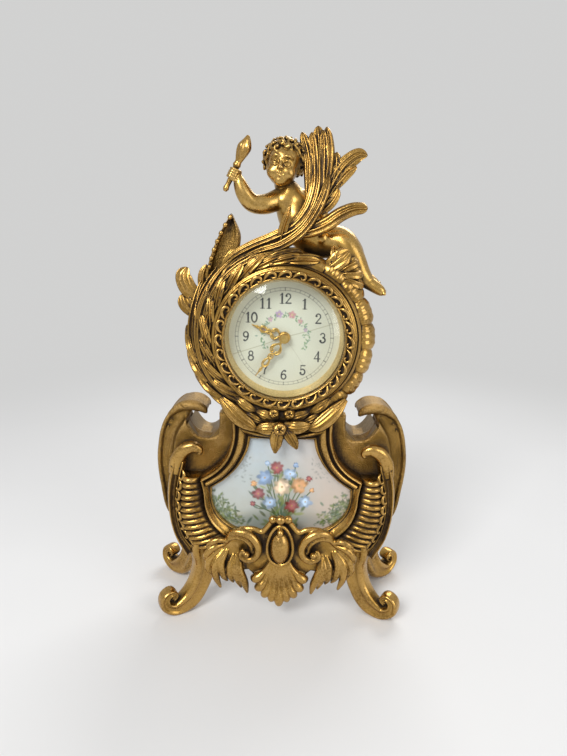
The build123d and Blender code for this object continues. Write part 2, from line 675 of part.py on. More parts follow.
def make_foliage():
    rim_leaf = strand(
        (213, 2.6, -2.4, 1.2, 1.2), (235, 2.8, -3.2, 2.2, 1.6), (265, 2.8, -3.8, 2.6, 1.8),
        (295, 2.8, -3.8, 2.6, 1.8), (325, 2.6, -3.6, 2.4, 1.7), (355, 2.4, -3.0, 2.2, 1.6),
        (383, 2.2, -2.4, 0.9, 0.9))
    middle_leaf = strand(
        (214, 5.0, -2.5, 2.0, 1.6), (235, 7.0, -3.4, 3.2, 2.1), (258, 8.4, -3.4, 3.5, 2.3),
        (282, 9.6, -2.6, 3.5, 2.3), (306, 11.2, -0.6, 3.0, 2.1), (330, 14.0, 3.0, 0.9, 0.8))
    outer_leaf = strand(
        (218, 9.4, 0.6, 1.8, 1.6), (240, 12.2, 0.4, 3.0, 2.4), (266, 14.0, 2.2, 3.0, 2.6),
        (290, 15.6, 5.0, 2.4, 2.2), (306, 18.4, 7.6, 0.9, 0.8))
    top_leaf = strand(
        (268, 5.4, -3.2, 1.6, 1.4), (290, 6.4, -3.8, 2.8, 2.0), (316, 7.4, -3.4, 3.2, 2.1),
        (342, 7.8, -2.4, 3.0, 2.0), (364, 7.0, -1.2, 2.4, 1.6), (382, 5.4, 0.0, 0.9, 0.8))
    wing = form([
        (on_crest(-42, -9, -24), 3.0, 2.5), (on_crest(-43.8, -8.5, -7), 6.0, 2.6),
        (on_crest(-38.5, -8, 8), 5.5, 2.4), (on_crest(-31.9, -8, 19), 0.9, 0.8),
    ])
    curl = form([
        (on_crest(-46, -9, -30), 4.0, 3.0), (on_crest(-56, -8, -31), 4.5, 3.0),
        (on_crest(-61, -7, -23), 4.0, 2.8), (on_crest(-59, -7, -15.5), 3.4, 2.4),
        (on_crest(-53, -7, -14), 2.4, 1.8),
    ])
    left = foliage(left_foliage_half_width, 212, 318) + foliage(top_foliage_half_width, 318, 386)
    left = left + rim_leaf + middle_leaf + outer_leaf + top_leaf + wing + curl
    parts["left_acanthus"] = left - round_bar(0, dial_height, drum_radius, frame_front_y, case_back_y)
    parts["right_shells"] = foliage(right_foliage_half_width, 26, 148)
    parts["lower_garland"] = foliage(lower_foliage_half_width, 148, 212)
    bow_outline = both_sides(
        [(0, plaque_top_z - 6.5), (5, plaque_top_z - 2.5), (12.5, plaque_top_z + 2)],
        [(12.5, plaque_top_z + 2), (13, plaque_top_z + 11), (6, plaque_top_z + 9), (0, plaque_top_z + 6.5)],
    )
    parts["waist_bow"] = slab(bow_outline, frame_front_y - bow_thickness, frame_front_y)


# Crest: the plume, the leaf wing at the left and the putto with a torch

def make_crest():
    stem = form([
        (on_crest(-14, -16, 1.5), 3.0, 2.0), (on_crest(-4, -17, 6), 5.0, 2.5),
        (on_crest(7.6, -18, 13.5), 6.0, 2.8), (on_crest(15.8, -17, 25), 6.5, 2.8),
        (on_crest(19.3, -14, 38), 8.0, 2.5), (on_crest(18.7, -8, 54), 8.0, 2.0),
        (on_crest(16, -3, 71.5), 1.2, 0.8),
    ])
    low_leaf = form([
        (on_crest(6, -16.5, 9), 4.0, 2.2), (on_crest(21.8, -17, 13), 5.0, 2.2),
        (on_crest(30, -18, 19), 4.5, 2.0), (on_crest(37, -18.5, 22.5), 3.0, 1.6),
        (on_crest(44.6, -19, 23), 0.9, 0.7),
    ])
    mid_leaf = form([
        (on_crest(15, -15, 24), 3.0, 2.0), (on_crest(21.5, -11, 32), 5.0, 2.2),
        (on_crest(25.3, -9, 42), 5.0, 2.2), (on_crest(31.2, -8, 49), 4.0, 1.8),
        (on_crest(42.3, -8, 53.5), 0.9, 0.7),
    ])
    small_leaf = form([
        (on_crest(-2, -17, 5), 3.0, 2.0), (on_crest(-0.4, -20, 15), 3.6, 1.8),
        (on_crest(1.7, -20.5, 22.5), 0.9, 0.7),
    ])
    plume = stem + low_leaf + mid_leaf + small_leaf
    for under in ("left_acanthus", "right_shells"):
        plume -= parts[under]
    parts["plume"] = plume


def make_putto():
    torso = form([
        (on_crest(0, -6, 36), 4.5, 4.5), (on_crest(2, -4, 30), 9.5, 6.0),
        (on_crest(4.5, -3, 22), 12.0, 8.0), (on_crest(11, -2, 11), 12.0, 9.0),
        (on_crest(20, 0, 5.5), 10.5, 9.5), (on_crest(27, 1, 4.0), 6.0, 6.0),
    ])
    head = Pos(*on_crest(-2.5, -9, 46)) * Sphere(12.8)
    raised_arm = form([
        (on_crest(-4, -6, 29), 5.2, 5.0), (on_crest(-12, -10, 25), 4.6, 4.4),
        (on_crest(-20, -12, 25), 4.2, 4.0), (on_crest(-25, -13, 31), 3.6, 3.4),
        (on_crest(-28, -13.5, 39), 2.8, 2.7),
    ])
    other_arm = form([
        (on_crest(10, -4, 29), 5.0, 4.8), (on_crest(18, -2, 22), 4.4, 4.2),
        (on_crest(22, -5, 12), 3.6, 3.4), (on_crest(21, -10, 6), 2.8, 2.7),
    ])
    near_leg = form([
        (on_crest(22, -1, 5), 9.0, 8.0), (on_crest(34, -6, 4), 7.5, 7.2),
        (on_crest(39, -9, -4), 6.4, 6.2), (on_crest(46, -9.5, -15), 4.2, 4.1),
        (on_crest(52, -11, -20), 3.8, 3.2), (on_crest(57, -13, -23.5), 2.4, 2.0),
    ])
    far_leg = form([
        (on_crest(20, 4, 4), 8.5, 8.0), (on_crest(33, 8, 6), 7.0, 6.8),
        (on_crest(41, 9, 0), 5.6, 5.4), (on_crest(45, 9, -10), 4.0, 3.9),
        (on_crest(49, 8, -16), 2.6, 2.2),
    ])
    hand = Pos(*on_crest(-28.3, -14, 41)) * Sphere(4.0)
    putto = torso + head + raised_arm + other_arm + near_leg + far_leg + hand
    for under in ("left_acanthus", "right_shells", "plume"):
        putto -= parts[under]
    putto -= round_bar(0, dial_height, drum_radius, frame_front_y, case_back_y)
    torch = form([
        (on_crest(-34.7, -14, 31), 1.6, 1.6), (on_crest(-31.5, -14, 38), 1.8, 1.8),
        (on_crest(-27, -14, 48), 2.6, 2.6), (on_crest(-24.6, -14, 53), 4.4, 4.4),
        (on_crest(-22.2, -14, 59.5), 1.0, 1.0),
    ])
    parts["torch"] = torch
    parts["putto"] = putto - torch


# Movement: two plates and four pillars hold a going train, an escapement and the motion work

PILLAR_ANGLES = (40.0, 130.0, 215.0, 320.0)
SPRING_STRIP = 0.4
SPRING_POST_RADIUS = 1.2
SPRING_POST_REACH = 13.5     # from the winding arbor
SPRING_POST_DIRECTION = radians(230)
SPRING_TURN_PITCH = 0.95
CLICK_REACH = 9.2            # from the winding arbor to the click's stud
CLICK_STUD_RADIUS = 0.8
CLICK_DIRECTION = radians(38)
COCK_DIRECTION = radians(290)
HAIRSPRING_STRIP = 0.16
HAIRSPRING_PITCH = 0.62
HAIRSPRING_STUD_RADIUS = 0.4
REGULATOR_DIRECTION = radians(110)
REGULATOR_PIN_RADIUS = 0.7
REGULATOR_PIN_REACH = 1.5    # outside the back cover
REGULATOR_SEAT_RADIUS = 1.3


def regulator_slot():
    """The curved slot in the back cover through which the regulator's pin stands out."""
    half_width = REGULATOR_PIN_RADIUS + air_gap
    swing = radians(regulator_swing + 6)
    turns = [REGULATOR_DIRECTION + turn for turn in (-swing, 0, swing)]
    stops = [step_from(balance_place, regulator_reach, turn) for turn in turns]
    ends = [Pos(*stop) * Circle(half_width) for stop in (stops[0], stops[-1])]
    return trace(ThreePointArc(*stops), 2 * half_width) + ends


def make_plates():
    front = round_bar(*centre_place, plate_radius, front_plate_y, inside_front_y)
    back = round_bar(*centre_place, plate_radius, back_plate_y, plates_back_y)
    screw_circle = (plate_radius + drum_inner_radius - flange_width) / 2
    for x, z in around_dial(screw_circle, PLATE_SCREW_ANGLES):
        front -= round_bar(x, z, SCREW_RADIUS + running_gap, front_plate_y, inside_front_y)
    for place in (third_place, fourth_place, escape_place, lever_place):
        front -= round_bar(*place, pivot_radius + running_gap, front_plate_y, inside_front_y)
        back -= round_bar(*place, pivot_radius + running_gap, back_plate_y, plates_back_y)
    front -= round_bar(*balance_place, pivot_radius + running_gap, front_plate_y, inside_front_y)
    back -= round_bar(*balance_place, arbor_radius + air_gap, back_plate_y, plates_back_y)
    front -= round_bar(*great_place, arbor_radius + running_gap, front_plate_y, inside_front_y)
    back -= round_bar(*great_place, winding_radius + running_gap, back_plate_y, plates_back_y)
    front -= round_bar(*centre_place, centre_arbor_radius + running_gap, front_plate_y, inside_front_y)
    back -= round_bar(*centre_place, centre_arbor_radius + running_gap, back_plate_y, plates_back_y)
    spring_post = step_from(great_place, SPRING_POST_REACH, SPRING_POST_DIRECTION)
    front += round_bar(*spring_post, SPRING_POST_RADIUS, inside_front_y, spring_back_y)
    front += round_bar(*minute_place, arbor_radius, hour_wheel_y - end_shake, front_plate_y)
    pillars = []
    nuts = []
    nut_back_y = plates_back_y + pillar_nut_thickness
    for x, z in around_dial(pillar_circle, PILLAR_ANGLES):
        front -= round_bar(x, z, arbor_radius, front_plate_y, inside_front_y)
        back -= round_bar(x, z, arbor_radius, back_plate_y, plates_back_y)
        pillar = round_bar(x, z, pillar_radius, inside_front_y, back_plate_y)
        pillars.append((pillar + round_bar(x, z, arbor_radius, front_plate_y, nut_back_y)).solid())
        nut = Pos(x, z) * RegularPolygon(pillar_radius + air_gap, 6) - Pos(x, z) * Circle(arbor_radius)
        nuts.append(slab(nut, plates_back_y, nut_back_y).solid())
    parts["front_plate"] = front
    parts["back_plate"] = back
    parts["pillars"] = Compound(children=pillars)
    parts["pillar_nuts"] = Compound(children=nuts)


def wheel(place, teeth, module, phase, y):
    return slab(gear_face(*place, teeth, module, WHEEL_ADDENDUM, phase), y, y + wheel_thickness)


def pinion(place, teeth, module, phase, y_front, y_back):
    return slab(gear_face(*place, teeth, module, PINION_ADDENDUM, phase), y_front, y_back)


def pinion_over(place, teeth, module, phase, wheel_y):
    """A pinion a little longer than the wheel that drives it."""
    y_back = wheel_y + wheel_thickness + pinion_overlap
    return pinion(place, teeth, module, phase, wheel_y - pinion_overlap, y_back)


def pivoted(place):
    """An arbor with a thin pivot in each plate."""
    arbor = round_bar(*place, arbor_radius, inside_front_y + end_shake, back_plate_y - end_shake)
    return arbor + round_bar(*place, pivot_radius, front_plate_y, plates_back_y)


def crossed(gear, place, pitch_radius, hub, y):
    """The wheel, lightened by five round openings between its rim and its hub."""
    rim = 2.0
    middle = (pitch_radius - rim + hub) / 2
    opening = (pitch_radius - rim - hub) / 2
    for i in range(5):
        gear -= round_bar(*step_from(place, middle, 2 * pi * i / 5), opening, y, y + wheel_thickness)
    return gear


def make_train():
    third = pivoted(third_place)
    third += wheel(third_place, third_teeth, third_module, third_pinion_phase, third_wheel_y)
    third += pinion_over(third_place, third_pinion_teeth, centre_module, third_pinion_phase, centre_wheel_y)
    pitch_radius = third_teeth * third_module / 2
    parts["third_wheel"] = crossed(third, third_place, pitch_radius, 3.2, third_wheel_y)

    fourth = pivoted(fourth_place)
    fourth += wheel(fourth_place, fourth_teeth, fourth_module, fourth_pinion_phase, fourth_wheel_y)
    fourth += pinion_over(fourth_place, fourth_pinion_teeth, third_module, fourth_pinion_phase, third_wheel_y)
    pitch_radius = fourth_teeth * fourth_module / 2
    parts["fourth_wheel"] = crossed(fourth, fourth_place, pitch_radius, 3.0, fourth_wheel_y)

    escape = pivoted(escape_place)
    escape += pinion_over(
        escape_place, escape_pinion_teeth, fourth_module, escape_pinion_phase, fourth_wheel_y)
    root = escape_radius - escape_tooth_depth
    step = 2 * pi / escape_teeth
    corners = []
    for tooth in range(escape_teeth):
        corners.append(step_from(escape_place, escape_radius, tooth * step))
        corners.append(step_from(escape_place, root, (tooth + 0.35) * step))
        corners.append(step_from(escape_place, root, (tooth + 0.8) * step))
    face = make_face(Polyline(*corners, close=True))
    parts["escape_wheel"] = escape + slab(face, escape_wheel_y, escape_wheel_y + wheel_thickness)

    pipe_front = inside_front_y + end_shake
    pipe_back = back_plate_y - end_shake
    centre = round_bar(*centre_place, centre_arbor_radius + pipe_wall, pipe_front, pipe_back)
    centre += wheel(centre_place, centre_teeth, centre_module, centre_phase, centre_wheel_y)
    centre += pinion_over(centre_place, centre_pinion_teeth, great_module, centre_phase, great_wheel_y)
    pitch_radius = centre_teeth * centre_module / 2
    centre = crossed(centre, centre_place, pitch_radius, 4.0, centre_wheel_y)
    bore = centre_arbor_radius + running_gap
    parts["centre_wheel"] = centre - round_bar(*centre_place, bore, pipe_front, pipe_back)


def spiral(place, inner, outer, pitch, end_angle, strip):
    """A flat strip wound outwards, as half turns, that ends at end_angle on the outer radius."""
    half_turns = int(2 * (outer - inner) / pitch)

    def at(half_turn, shift):
        radius = outer - (half_turns - half_turn) * pitch / 2 + shift
        return step_from(place, radius, end_angle - (half_turns - half_turn) * pi)

    edges = []
    for shift in (-strip / 2, strip / 2):
        for i in range(half_turns):
            edges.append(ThreePointArc(at(i, shift), at(i + 0.5, shift), at(i + 1, shift)))
    for i in (0, half_turns):
        edges.append(Line(at(i, -strip / 2), at(i, strip / 2)))
    return make_face(edges)


def make_power():
    boss = 0.6
    great_back_y = great_wheel_y + wheel_thickness
    ratchet_back_y = ratchet_y + wheel_thickness
    click_place = step_from(great_place, CLICK_REACH, 0.0)
    great = wheel(great_place, great_teeth, great_module, great_phase, great_wheel_y)
    great += round_bar(*great_place, winding_radius + 1.6, great_wheel_y - boss, great_wheel_y)
    great -= round_bar(*great_place, winding_radius + running_gap, great_wheel_y - boss, great_back_y)
    parts["great_wheel"] = great + round_bar(*click_place, CLICK_STUD_RADIUS, great_back_y, ratchet_back_y)

    corners = []
    for tooth in range(ratchet_teeth):
        start = 2 * pi * tooth / ratchet_teeth
        corners.append(step_from(great_place, ratchet_radius, start))
        corners.append(step_from(great_place, ratchet_radius - 0.8, start))
    ratchet = slab(make_face(Polyline(*corners, close=True)), ratchet_y, ratchet_back_y)
    square = Pos(*great_place) * Rectangle(winding_square, winding_square)
    arbor = round_bar(*great_place, arbor_radius, front_plate_y, inside_front_y + 2 * end_shake)
    stem_back_y = drum_back_y + back_cover_thickness / 2
    arbor += round_bar(*great_place, winding_radius, inside_front_y + end_shake, stem_back_y)
    parts["winding_arbor"] = arbor + ratchet + slab(square, drum_back_y, key_front_y + key_socket)

    nose = step_from(great_place, ratchet_radius + seat_gap, CLICK_DIRECTION)
    heel = step_from(nose, 1.2, CLICK_DIRECTION)
    click_face = make_hull([Pos(*click_place) * Circle(2 * CLICK_STUD_RADIUS).edge(), Line(nose, heel)])
    click_face -= Pos(*click_place) * Circle(CLICK_STUD_RADIUS + running_gap)
    parts["click"] = slab(click_face, ratchet_y, ratchet_back_y)

    outer = SPRING_POST_REACH - SPRING_POST_RADIUS - SPRING_STRIP / 2
    inner = winding_radius + SPRING_STRIP / 2 + running_gap
    spring = spiral(great_place, inner, outer, SPRING_TURN_PITCH, SPRING_POST_DIRECTION, SPRING_STRIP)
    parts["mainspring"] = slab(spring, spring_front_y, spring_back_y)


def make_escapement():
    lever_y = escape_wheel_y + wheel_thickness + 0.6
    lever_back_y = lever_y + 0.8
    roller_radius = 1.6
    arm_width = 1.2
    pin_radius = 0.35
    fork_end = step_from(lever_place, balance_distance - roller_radius - air_gap, balance_direction)
    lever = pivoted(lever_place)
    lever_face = Pos(*lever_place) * Circle(1.6 * arbor_radius)
    lever_face += trace(Line(lever_place, fork_end), arm_width)
    towards_escape = lever_direction + pi
    lean = acos(escape_radius / lever_distance)
    for side in (-1, 1):
        arm_direction = towards_escape + side * (pi / 2 - lean)
        pin_place = step_from(lever_place, lever_distance * sin(lean), arm_direction)
        lever_face += trace(Line(lever_place, pin_place), arm_width)
        lever_face += Pos(*pin_place) * Circle(2 * pin_radius)
        lever += round_bar(*pin_place, pin_radius, escape_wheel_y + wheel_thickness + seat_gap, lever_y)
    parts["pallet_lever"] = lever + slab(lever_face, lever_y, lever_back_y)

    balance_back_y = balance_wheel_y + wheel_thickness
    rim_width = 1.1
    spoke = Pos(*balance_place) * Rectangle(2 * balance_radius - rim_width, 1.4)
    rim_inner = balance_radius - rim_width
    balance = ring(*balance_place, balance_radius, rim_inner, balance_wheel_y, balance_back_y)
    balance += slab(spoke, balance_wheel_y, balance_back_y)
    balance += round_bar(*balance_place, staff_radius, inside_front_y + end_shake, cock_y - end_shake)
    balance += round_bar(*balance_place, pivot_radius, front_plate_y, regulator_y)
    parts["balance_wheel"] = balance + round_bar(*balance_place, roller_radius, lever_y, lever_back_y)

    foot = step_from(balance_place, cock_reach, COCK_DIRECTION)
    foot_radius = 2.5
    regulator_back_y = regulator_y + regulator_thickness
    ends = [Pos(*balance_place) * Circle(foot_radius), Pos(*foot) * Circle(1.2 * foot_radius)]
    cock_face = make_hull([end.edge() for end in ends])
    cock = slab(cock_face, cock_y, regulator_y) + round_bar(*foot, foot_radius, plates_back_y, cock_y)
    cock += round_bar(*balance_place, REGULATOR_SEAT_RADIUS, regulator_y, regulator_back_y)
    cock -= round_bar(*balance_place, pivot_radius + running_gap, cock_y, regulator_back_y)
    stud_place = step_from(balance_place, hairspring_radius, COCK_DIRECTION)
    parts["balance_cock"] = cock + round_bar(*stud_place, HAIRSPRING_STUD_RADIUS, hairspring_y, cock_y)

    inner = staff_radius + running_gap + HAIRSPRING_STRIP / 2
    outer = hairspring_radius - HAIRSPRING_STUD_RADIUS - HAIRSPRING_STRIP / 2
    coil = spiral(balance_place, inner, outer, HAIRSPRING_PITCH, COCK_DIRECTION, HAIRSPRING_STRIP)
    parts["hairspring"] = slab(coil, hairspring_y, hairspring_y + hairspring_height)

    tip = step_from(balance_place, regulator_reach, REGULATOR_DIRECTION)
    arm = make_hull([Pos(*balance_place) * Circle(2.4).edge(), Pos(*tip) * Circle(1.0).edge()])
    arm -= Pos(*balance_place) * Circle(REGULATOR_SEAT_RADIUS + running_gap)
    pin = round_bar(*tip, REGULATOR_PIN_RADIUS, regulator_y, cover_back_y + REGULATOR_PIN_REACH)
    parts["regulator"] = slab(arm, regulator_y, regulator_back_y) + pin


# Motion work and hands: the minute hand's arbor drives the hour hand through the minute wheel

def hand_face(length, hub, bore):
    """A pierced hand, drawn about the dial's centre, that points up from its hub and swells twice."""
    first_swell = 0.28
    second_swell = 0.64
    root = 0.1
    steps = 24

    def half_width(t):
        swell = sin(pi * (t - root) / (second_swell - first_swell)) ** 2
        return 0.2 + (1 - t) * (0.5 + hand_swell * swell)

    along = [root + (1 - root) * i / steps for i in range(steps + 1)]
    right = [(half_width(t), length * t) for t in along]
    left = [(-half_width(t), length * t) for t in reversed(along)]
    face = make_face(Polyline(*right, *left, close=True))
    face -= Pos(0, length * first_swell) * Ellipse(0.5 * hand_swell, length * 0.1)
    face -= Pos(0, length * second_swell) * Ellipse(0.24 * hand_swell, length * 0.08)
    return Circle(hub) + face - Circle(bore)


def clockwise(face, angle):
    """The face set on the dial's centre and turned by the angle clockwise from twelve."""
    return Pos(*centre_place) * Rot(0, 0, -angle) * face


def make_motion_work():
    minute_back_y = motion_wheel_y + wheel_thickness
    minute = wheel(minute_place, minute_teeth, cannon_module, minute_phase, motion_wheel_y)
    minute += pinion(
        minute_place, minute_pinion_teeth, hour_module, minute_phase, hour_wheel_y, motion_wheel_y)
    minute -= round_bar(*minute_place, arbor_radius + running_gap, hour_wheel_y, minute_back_y)
    parts["minute_wheel"] = minute

    hour_hand_y = dial_face_y - 1.9
    minute_hand_y = hour_hand_y - 2.2
    pipe_front_y = hour_hand_y - air_gap
    hour = wheel(centre_place, hour_teeth, hour_module, hour_phase, hour_wheel_y)
    hour += round_bar(*centre_place, hour_pipe_radius, pipe_front_y, hour_wheel_y)
    hour_bore = centre_arbor_radius + running_gap
    hour -= round_bar(*centre_place, hour_bore, pipe_front_y, hour_wheel_y + wheel_thickness)
    parts["hour_wheel"] = hour
    hour_face = clockwise(hand_face(hour_hand_length, hand_hub_radius, hour_pipe_radius), hour_hand_angle)
    parts["hour_hand"] = slab(hour_face, hour_hand_y, hour_hand_y + hand_thickness)
    minute_face = hand_face(minute_hand_length, hand_hub_radius - 0.6, centre_arbor_radius)
    hand_back_y = minute_hand_y + hand_thickness
    parts["minute_hand"] = slab(clockwise(minute_face, minute_hand_angle), minute_hand_y, hand_back_y)

    arbor_front_y = minute_hand_y - 1.4
    knob_back_y = knob_front_y + knob_length
    knob_floor_y = knob_back_y - 1.0
    cannon_front_y = motion_wheel_y - air_gap
    arbor = round_bar(*centre_place, centre_arbor_radius, arbor_front_y, knob_floor_y)
    cannon_back_y = front_plate_y - end_shake
    arbor += pinion(centre_place, cannon_teeth, cannon_module, centre_phase, cannon_front_y, cannon_back_y)
    arbor += round_bar(*centre_place, centre_arbor_radius + 0.6, hand_back_y, hand_back_y + 0.5)
    parts["centre_arbor"] = arbor
    nut_front_y = arbor_front_y + seat_gap
    parts["hand_nut"] = ring(*centre_place, hand_nut_radius, centre_arbor_radius, nut_front_y, minute_hand_y)
    knob = round_bar(*centre_place, knob_radius, knob_front_y, knob_back_y)
    knob -= round_bar(*centre_place, centre_arbor_radius, knob_front_y, knob_floor_y)
    for i in range(knob_ridges):
        groove = step_from(centre_place, knob_radius + 0.15, 2 * pi * i / knob_ridges)
        knob -= round_bar(*groove, 0.4, knob_front_y, knob_back_y)
    parts["set_knob"] = knob


def make_key():
    thumb_front = key_front_y + key_socket
    thumb_back = key_front_y + key_length
    square = Pos(*great_place) * Rectangle(winding_square, winding_square)
    pipe = round_bar(*great_place, winding_square, key_front_y, thumb_front + 1.5)
    pipe -= slab(square, key_front_y, thumb_front)
    middle = (thumb_front + thumb_back) / 2
    lobe_radius = (thumb_back - thumb_front) / 2
    reach = key_half_width - lobe_radius
    outline = Pos(0, middle) * Rectangle(2 * reach, 2 * lobe_radius - 3.0)
    for x in (-reach, reach):
        outline += Pos(x, middle) * Circle(lobe_radius)
    for x in (-reach, reach):
        outline -= Pos(x, middle) * Circle(lobe_radius / 3)
    thumb_plane = Plane(origin=(great_place[0], 0, great_place[1]), x_dir=(1, 0, 0), z_dir=(0, 0, 1))
    parts["winding_key"] = pipe + extrude(thumb_plane * outline, amount=0.9, both=True)


def make_panel_screws():
    """Four screws hold the back panel to the shell's wall."""
    radius = 0.9
    reach = 6.0
    low = (case_floor_half_width - 12, case_floor_z + wall / 2)
    high = (notch_x - notch_radius - wall / 2, notch_z + 6)
    outside_y = case_back_y + back_panel_thickness
    screws = []
    for x, z in (low, high, (-low[0], low[1]), (-high[0], high[1])):
        hole = round_bar(x, z, radius + running_gap, case_back_y - reach, outside_y)
        parts["case_shell"] -= hole
        parts["back_panel"] -= hole
        screws.append(slotted_screw(x, z, radius, case_back_y - reach, outside_y))
    parts["back_panel_screws"] = Compound(children=screws)


make_case()
make_wings()
make_front()
make_apron()
make_legs()
make_panel_screws()
make_drum()
make_dial_and_glass()
make_foliage()
make_crest()
make_putto()
make_plates()
make_train()
make_power()
make_escapement()
make_motion_work()
make_key()

os.makedirs("parts", exist_ok=True)
for name, shape in parts.items():
    export_step(shape, f"parts/{name}.step")
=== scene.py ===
import math

import bpy
import numpy as np
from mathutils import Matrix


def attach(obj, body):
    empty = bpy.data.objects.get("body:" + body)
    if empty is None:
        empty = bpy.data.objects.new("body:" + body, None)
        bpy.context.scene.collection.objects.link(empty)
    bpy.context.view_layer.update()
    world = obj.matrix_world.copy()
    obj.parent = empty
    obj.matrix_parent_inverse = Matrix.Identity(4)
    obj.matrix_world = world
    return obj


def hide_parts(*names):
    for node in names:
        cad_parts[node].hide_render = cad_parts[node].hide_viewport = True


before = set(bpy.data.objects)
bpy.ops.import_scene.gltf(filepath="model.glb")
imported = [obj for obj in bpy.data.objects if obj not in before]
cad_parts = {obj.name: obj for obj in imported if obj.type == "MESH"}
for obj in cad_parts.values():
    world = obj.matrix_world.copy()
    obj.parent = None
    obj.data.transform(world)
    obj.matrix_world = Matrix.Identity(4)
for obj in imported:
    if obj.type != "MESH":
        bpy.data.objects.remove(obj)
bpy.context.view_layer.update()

import openvdb
from mathutils import Matrix, Vector
from mathutils.bvhtree import BVHTree

# Four scroll legs, cast in one with the case and gilt all over. Each runs down in an S, with a sunk
# channel on its flanks, and rolls up at the toe into a small volute. The rear pair starts higher up.

MM = 0.001
CLOCK = "clock"
gilt_pieces = []          # every gilt piece, for the painted shade and dirt in its recesses


class Link:
    """A shader socket, so that shader maths reads as Python."""

    def __init__(self, finish, socket):
        self.finish = finish
        self.socket = socket

    def _math(self, operation, first, second):
        return self.finish.node("ShaderNodeMath", {"operation": operation}, {0: first, 1: second})

    def __add__(self, other):
        return self._math("ADD", self, other)

    def __radd__(self, other):
        return self._math("ADD", other, self)

    def __sub__(self, other):
        return self._math("SUBTRACT", self, other)

    def __rsub__(self, other):
        return self._math("SUBTRACT", other, self)

    def __mul__(self, other):
        return self._math("MULTIPLY", self, other)

    def __rmul__(self, other):
        return self._math("MULTIPLY", other, self)

    def ramp(self, low, high):
        """0 below low, 1 above high, smooth between."""
        return self.finish.node("ShaderNodeMapRange", {"interpolation_type": "SMOOTHSTEP"},
                                {0: self, 1: low, 2: high, 3: 0.0, 4: 1.0})


class Finish:
    """A material with one Principled shader; numbers that don't vary are set on its own sockets."""

    def __init__(self, name, **constants):
        self.material = bpy.data.materials.new(name)
        self.material.use_nodes = True
        self.tree = self.material.node_tree
        self.shader = self.tree.nodes["Principled BSDF"]
        for socket, value in constants.items():
            self.shader.inputs[socket.replace("_", " ")].default_value = value

    def node(self, kind, settings, sockets, out=0):
        """Add a node of a kind, with its settings and the values or links of its sockets."""
        node = self.tree.nodes.new(kind)
        for key, value in settings.items():
            setattr(node, key, value)
        for key, value in sockets.items():
            if isinstance(value, Link):
                self.tree.links.new(value.socket, node.inputs[key])
            else:
                node.inputs[key].default_value = value
        return Link(self, node.outputs[out])

    def mix(self, factor, first, second):
        """A colour between two, each a link or plain red, green and blue."""
        first = first if isinstance(first, Link) else (*first, 1.0)
        second = second if isinstance(second, Link) else (*second, 1.0)
        sockets = {0: factor, 6: first, 7: second}
        return self.node("ShaderNodeMix", {"data_type": "RGBA"}, sockets, out=2)

    def place(self):
        """Object coordinates."""
        return self.node("ShaderNodeTexCoord", {}, {}, out=3)

    def noise(self, scale, detail):
        sockets = {"Vector": self.place(), "Scale": scale, "Detail": detail, "Roughness": 0.55}
        return self.node("ShaderNodeTexNoise", {}, sockets)

    def attribute(self, name, out=2):
        return self.node("ShaderNodeAttribute", {"attribute_name": name}, {}, out=out)

    def feed(self, **links):
        """Link what varies over the surface to the shader's sockets."""
        for socket, link in links.items():
            self.tree.links.new(link.socket, self.shader.inputs[socket.replace("_", " ")])
        return self

    def surface(self, link):
        self.tree.links.new(link.socket, self.tree.nodes["Material Output"].inputs[0])
        return self

    def bump(self, height, strength, distance):
        sockets = {"Height": height, "Strength": strength, "Distance": distance}
        return self.node("ShaderNodeBump", {}, sockets)


SHADE_AND_PATINA = (0.030, 0.015, 0.005)


def gilt_finish(name, bright, deep, rough, grain, shade_and_patina=SHADE_AND_PATINA):
    """Old gilding: gold of two tones, brown where the attribute recess says that a point is shut in, as
    painted shade and old dirt in one, and lighter on the most open points, as a painted highlight and wear
    in one.
    The grain of its surface is (strength, scale, depth)."""
    finish = Finish(name)
    strength, scale, depth = grain
    recess = finish.attribute("recess")
    cloud = finish.noise(scale=55.0, detail=4.0)
    speck = finish.noise(scale=900.0, detail=2.0)
    # painted shade in the recesses, together with old dirt: brown where other metal shuts a point in
    dirt_and_shade = (recess + (cloud - 0.5) * 0.28 + (speck - 0.5) * 0.16).ramp(0.16, 0.62)
    gold = finish.mix(cloud.ramp(0.35, 0.68), bright, deep)
    # painted highlight, together with wear: lighter, polished gold on the most open points
    wear_and_highlight = (0.10 - recess).ramp(0.0, 0.10) * speck.ramp(0.3, 0.6)
    polished_highlight = tuple(min(1.0, c * 1.25 + 0.05) for c in bright)
    gold = finish.mix(wear_and_highlight * 0.55, gold, polished_highlight)
    finish.feed(Base_Color=finish.mix(dirt_and_shade, gold, shade_and_patina),
                Metallic=1.0 - dirt_and_shade * 0.55,
                Roughness=rough + dirt_and_shade * 0.32 + (cloud - 0.5) * 0.16,
                Normal=finish.bump(finish.noise(scale, detail=3.0), strength, depth))
    return finish.material


GILT = gilt_finish("antique_gilt", bright=(0.45, 0.265, 0.066), deep=(0.22, 0.12, 0.026),
                   rough=0.26, grain=(0.35, 420.0, 0.0004))


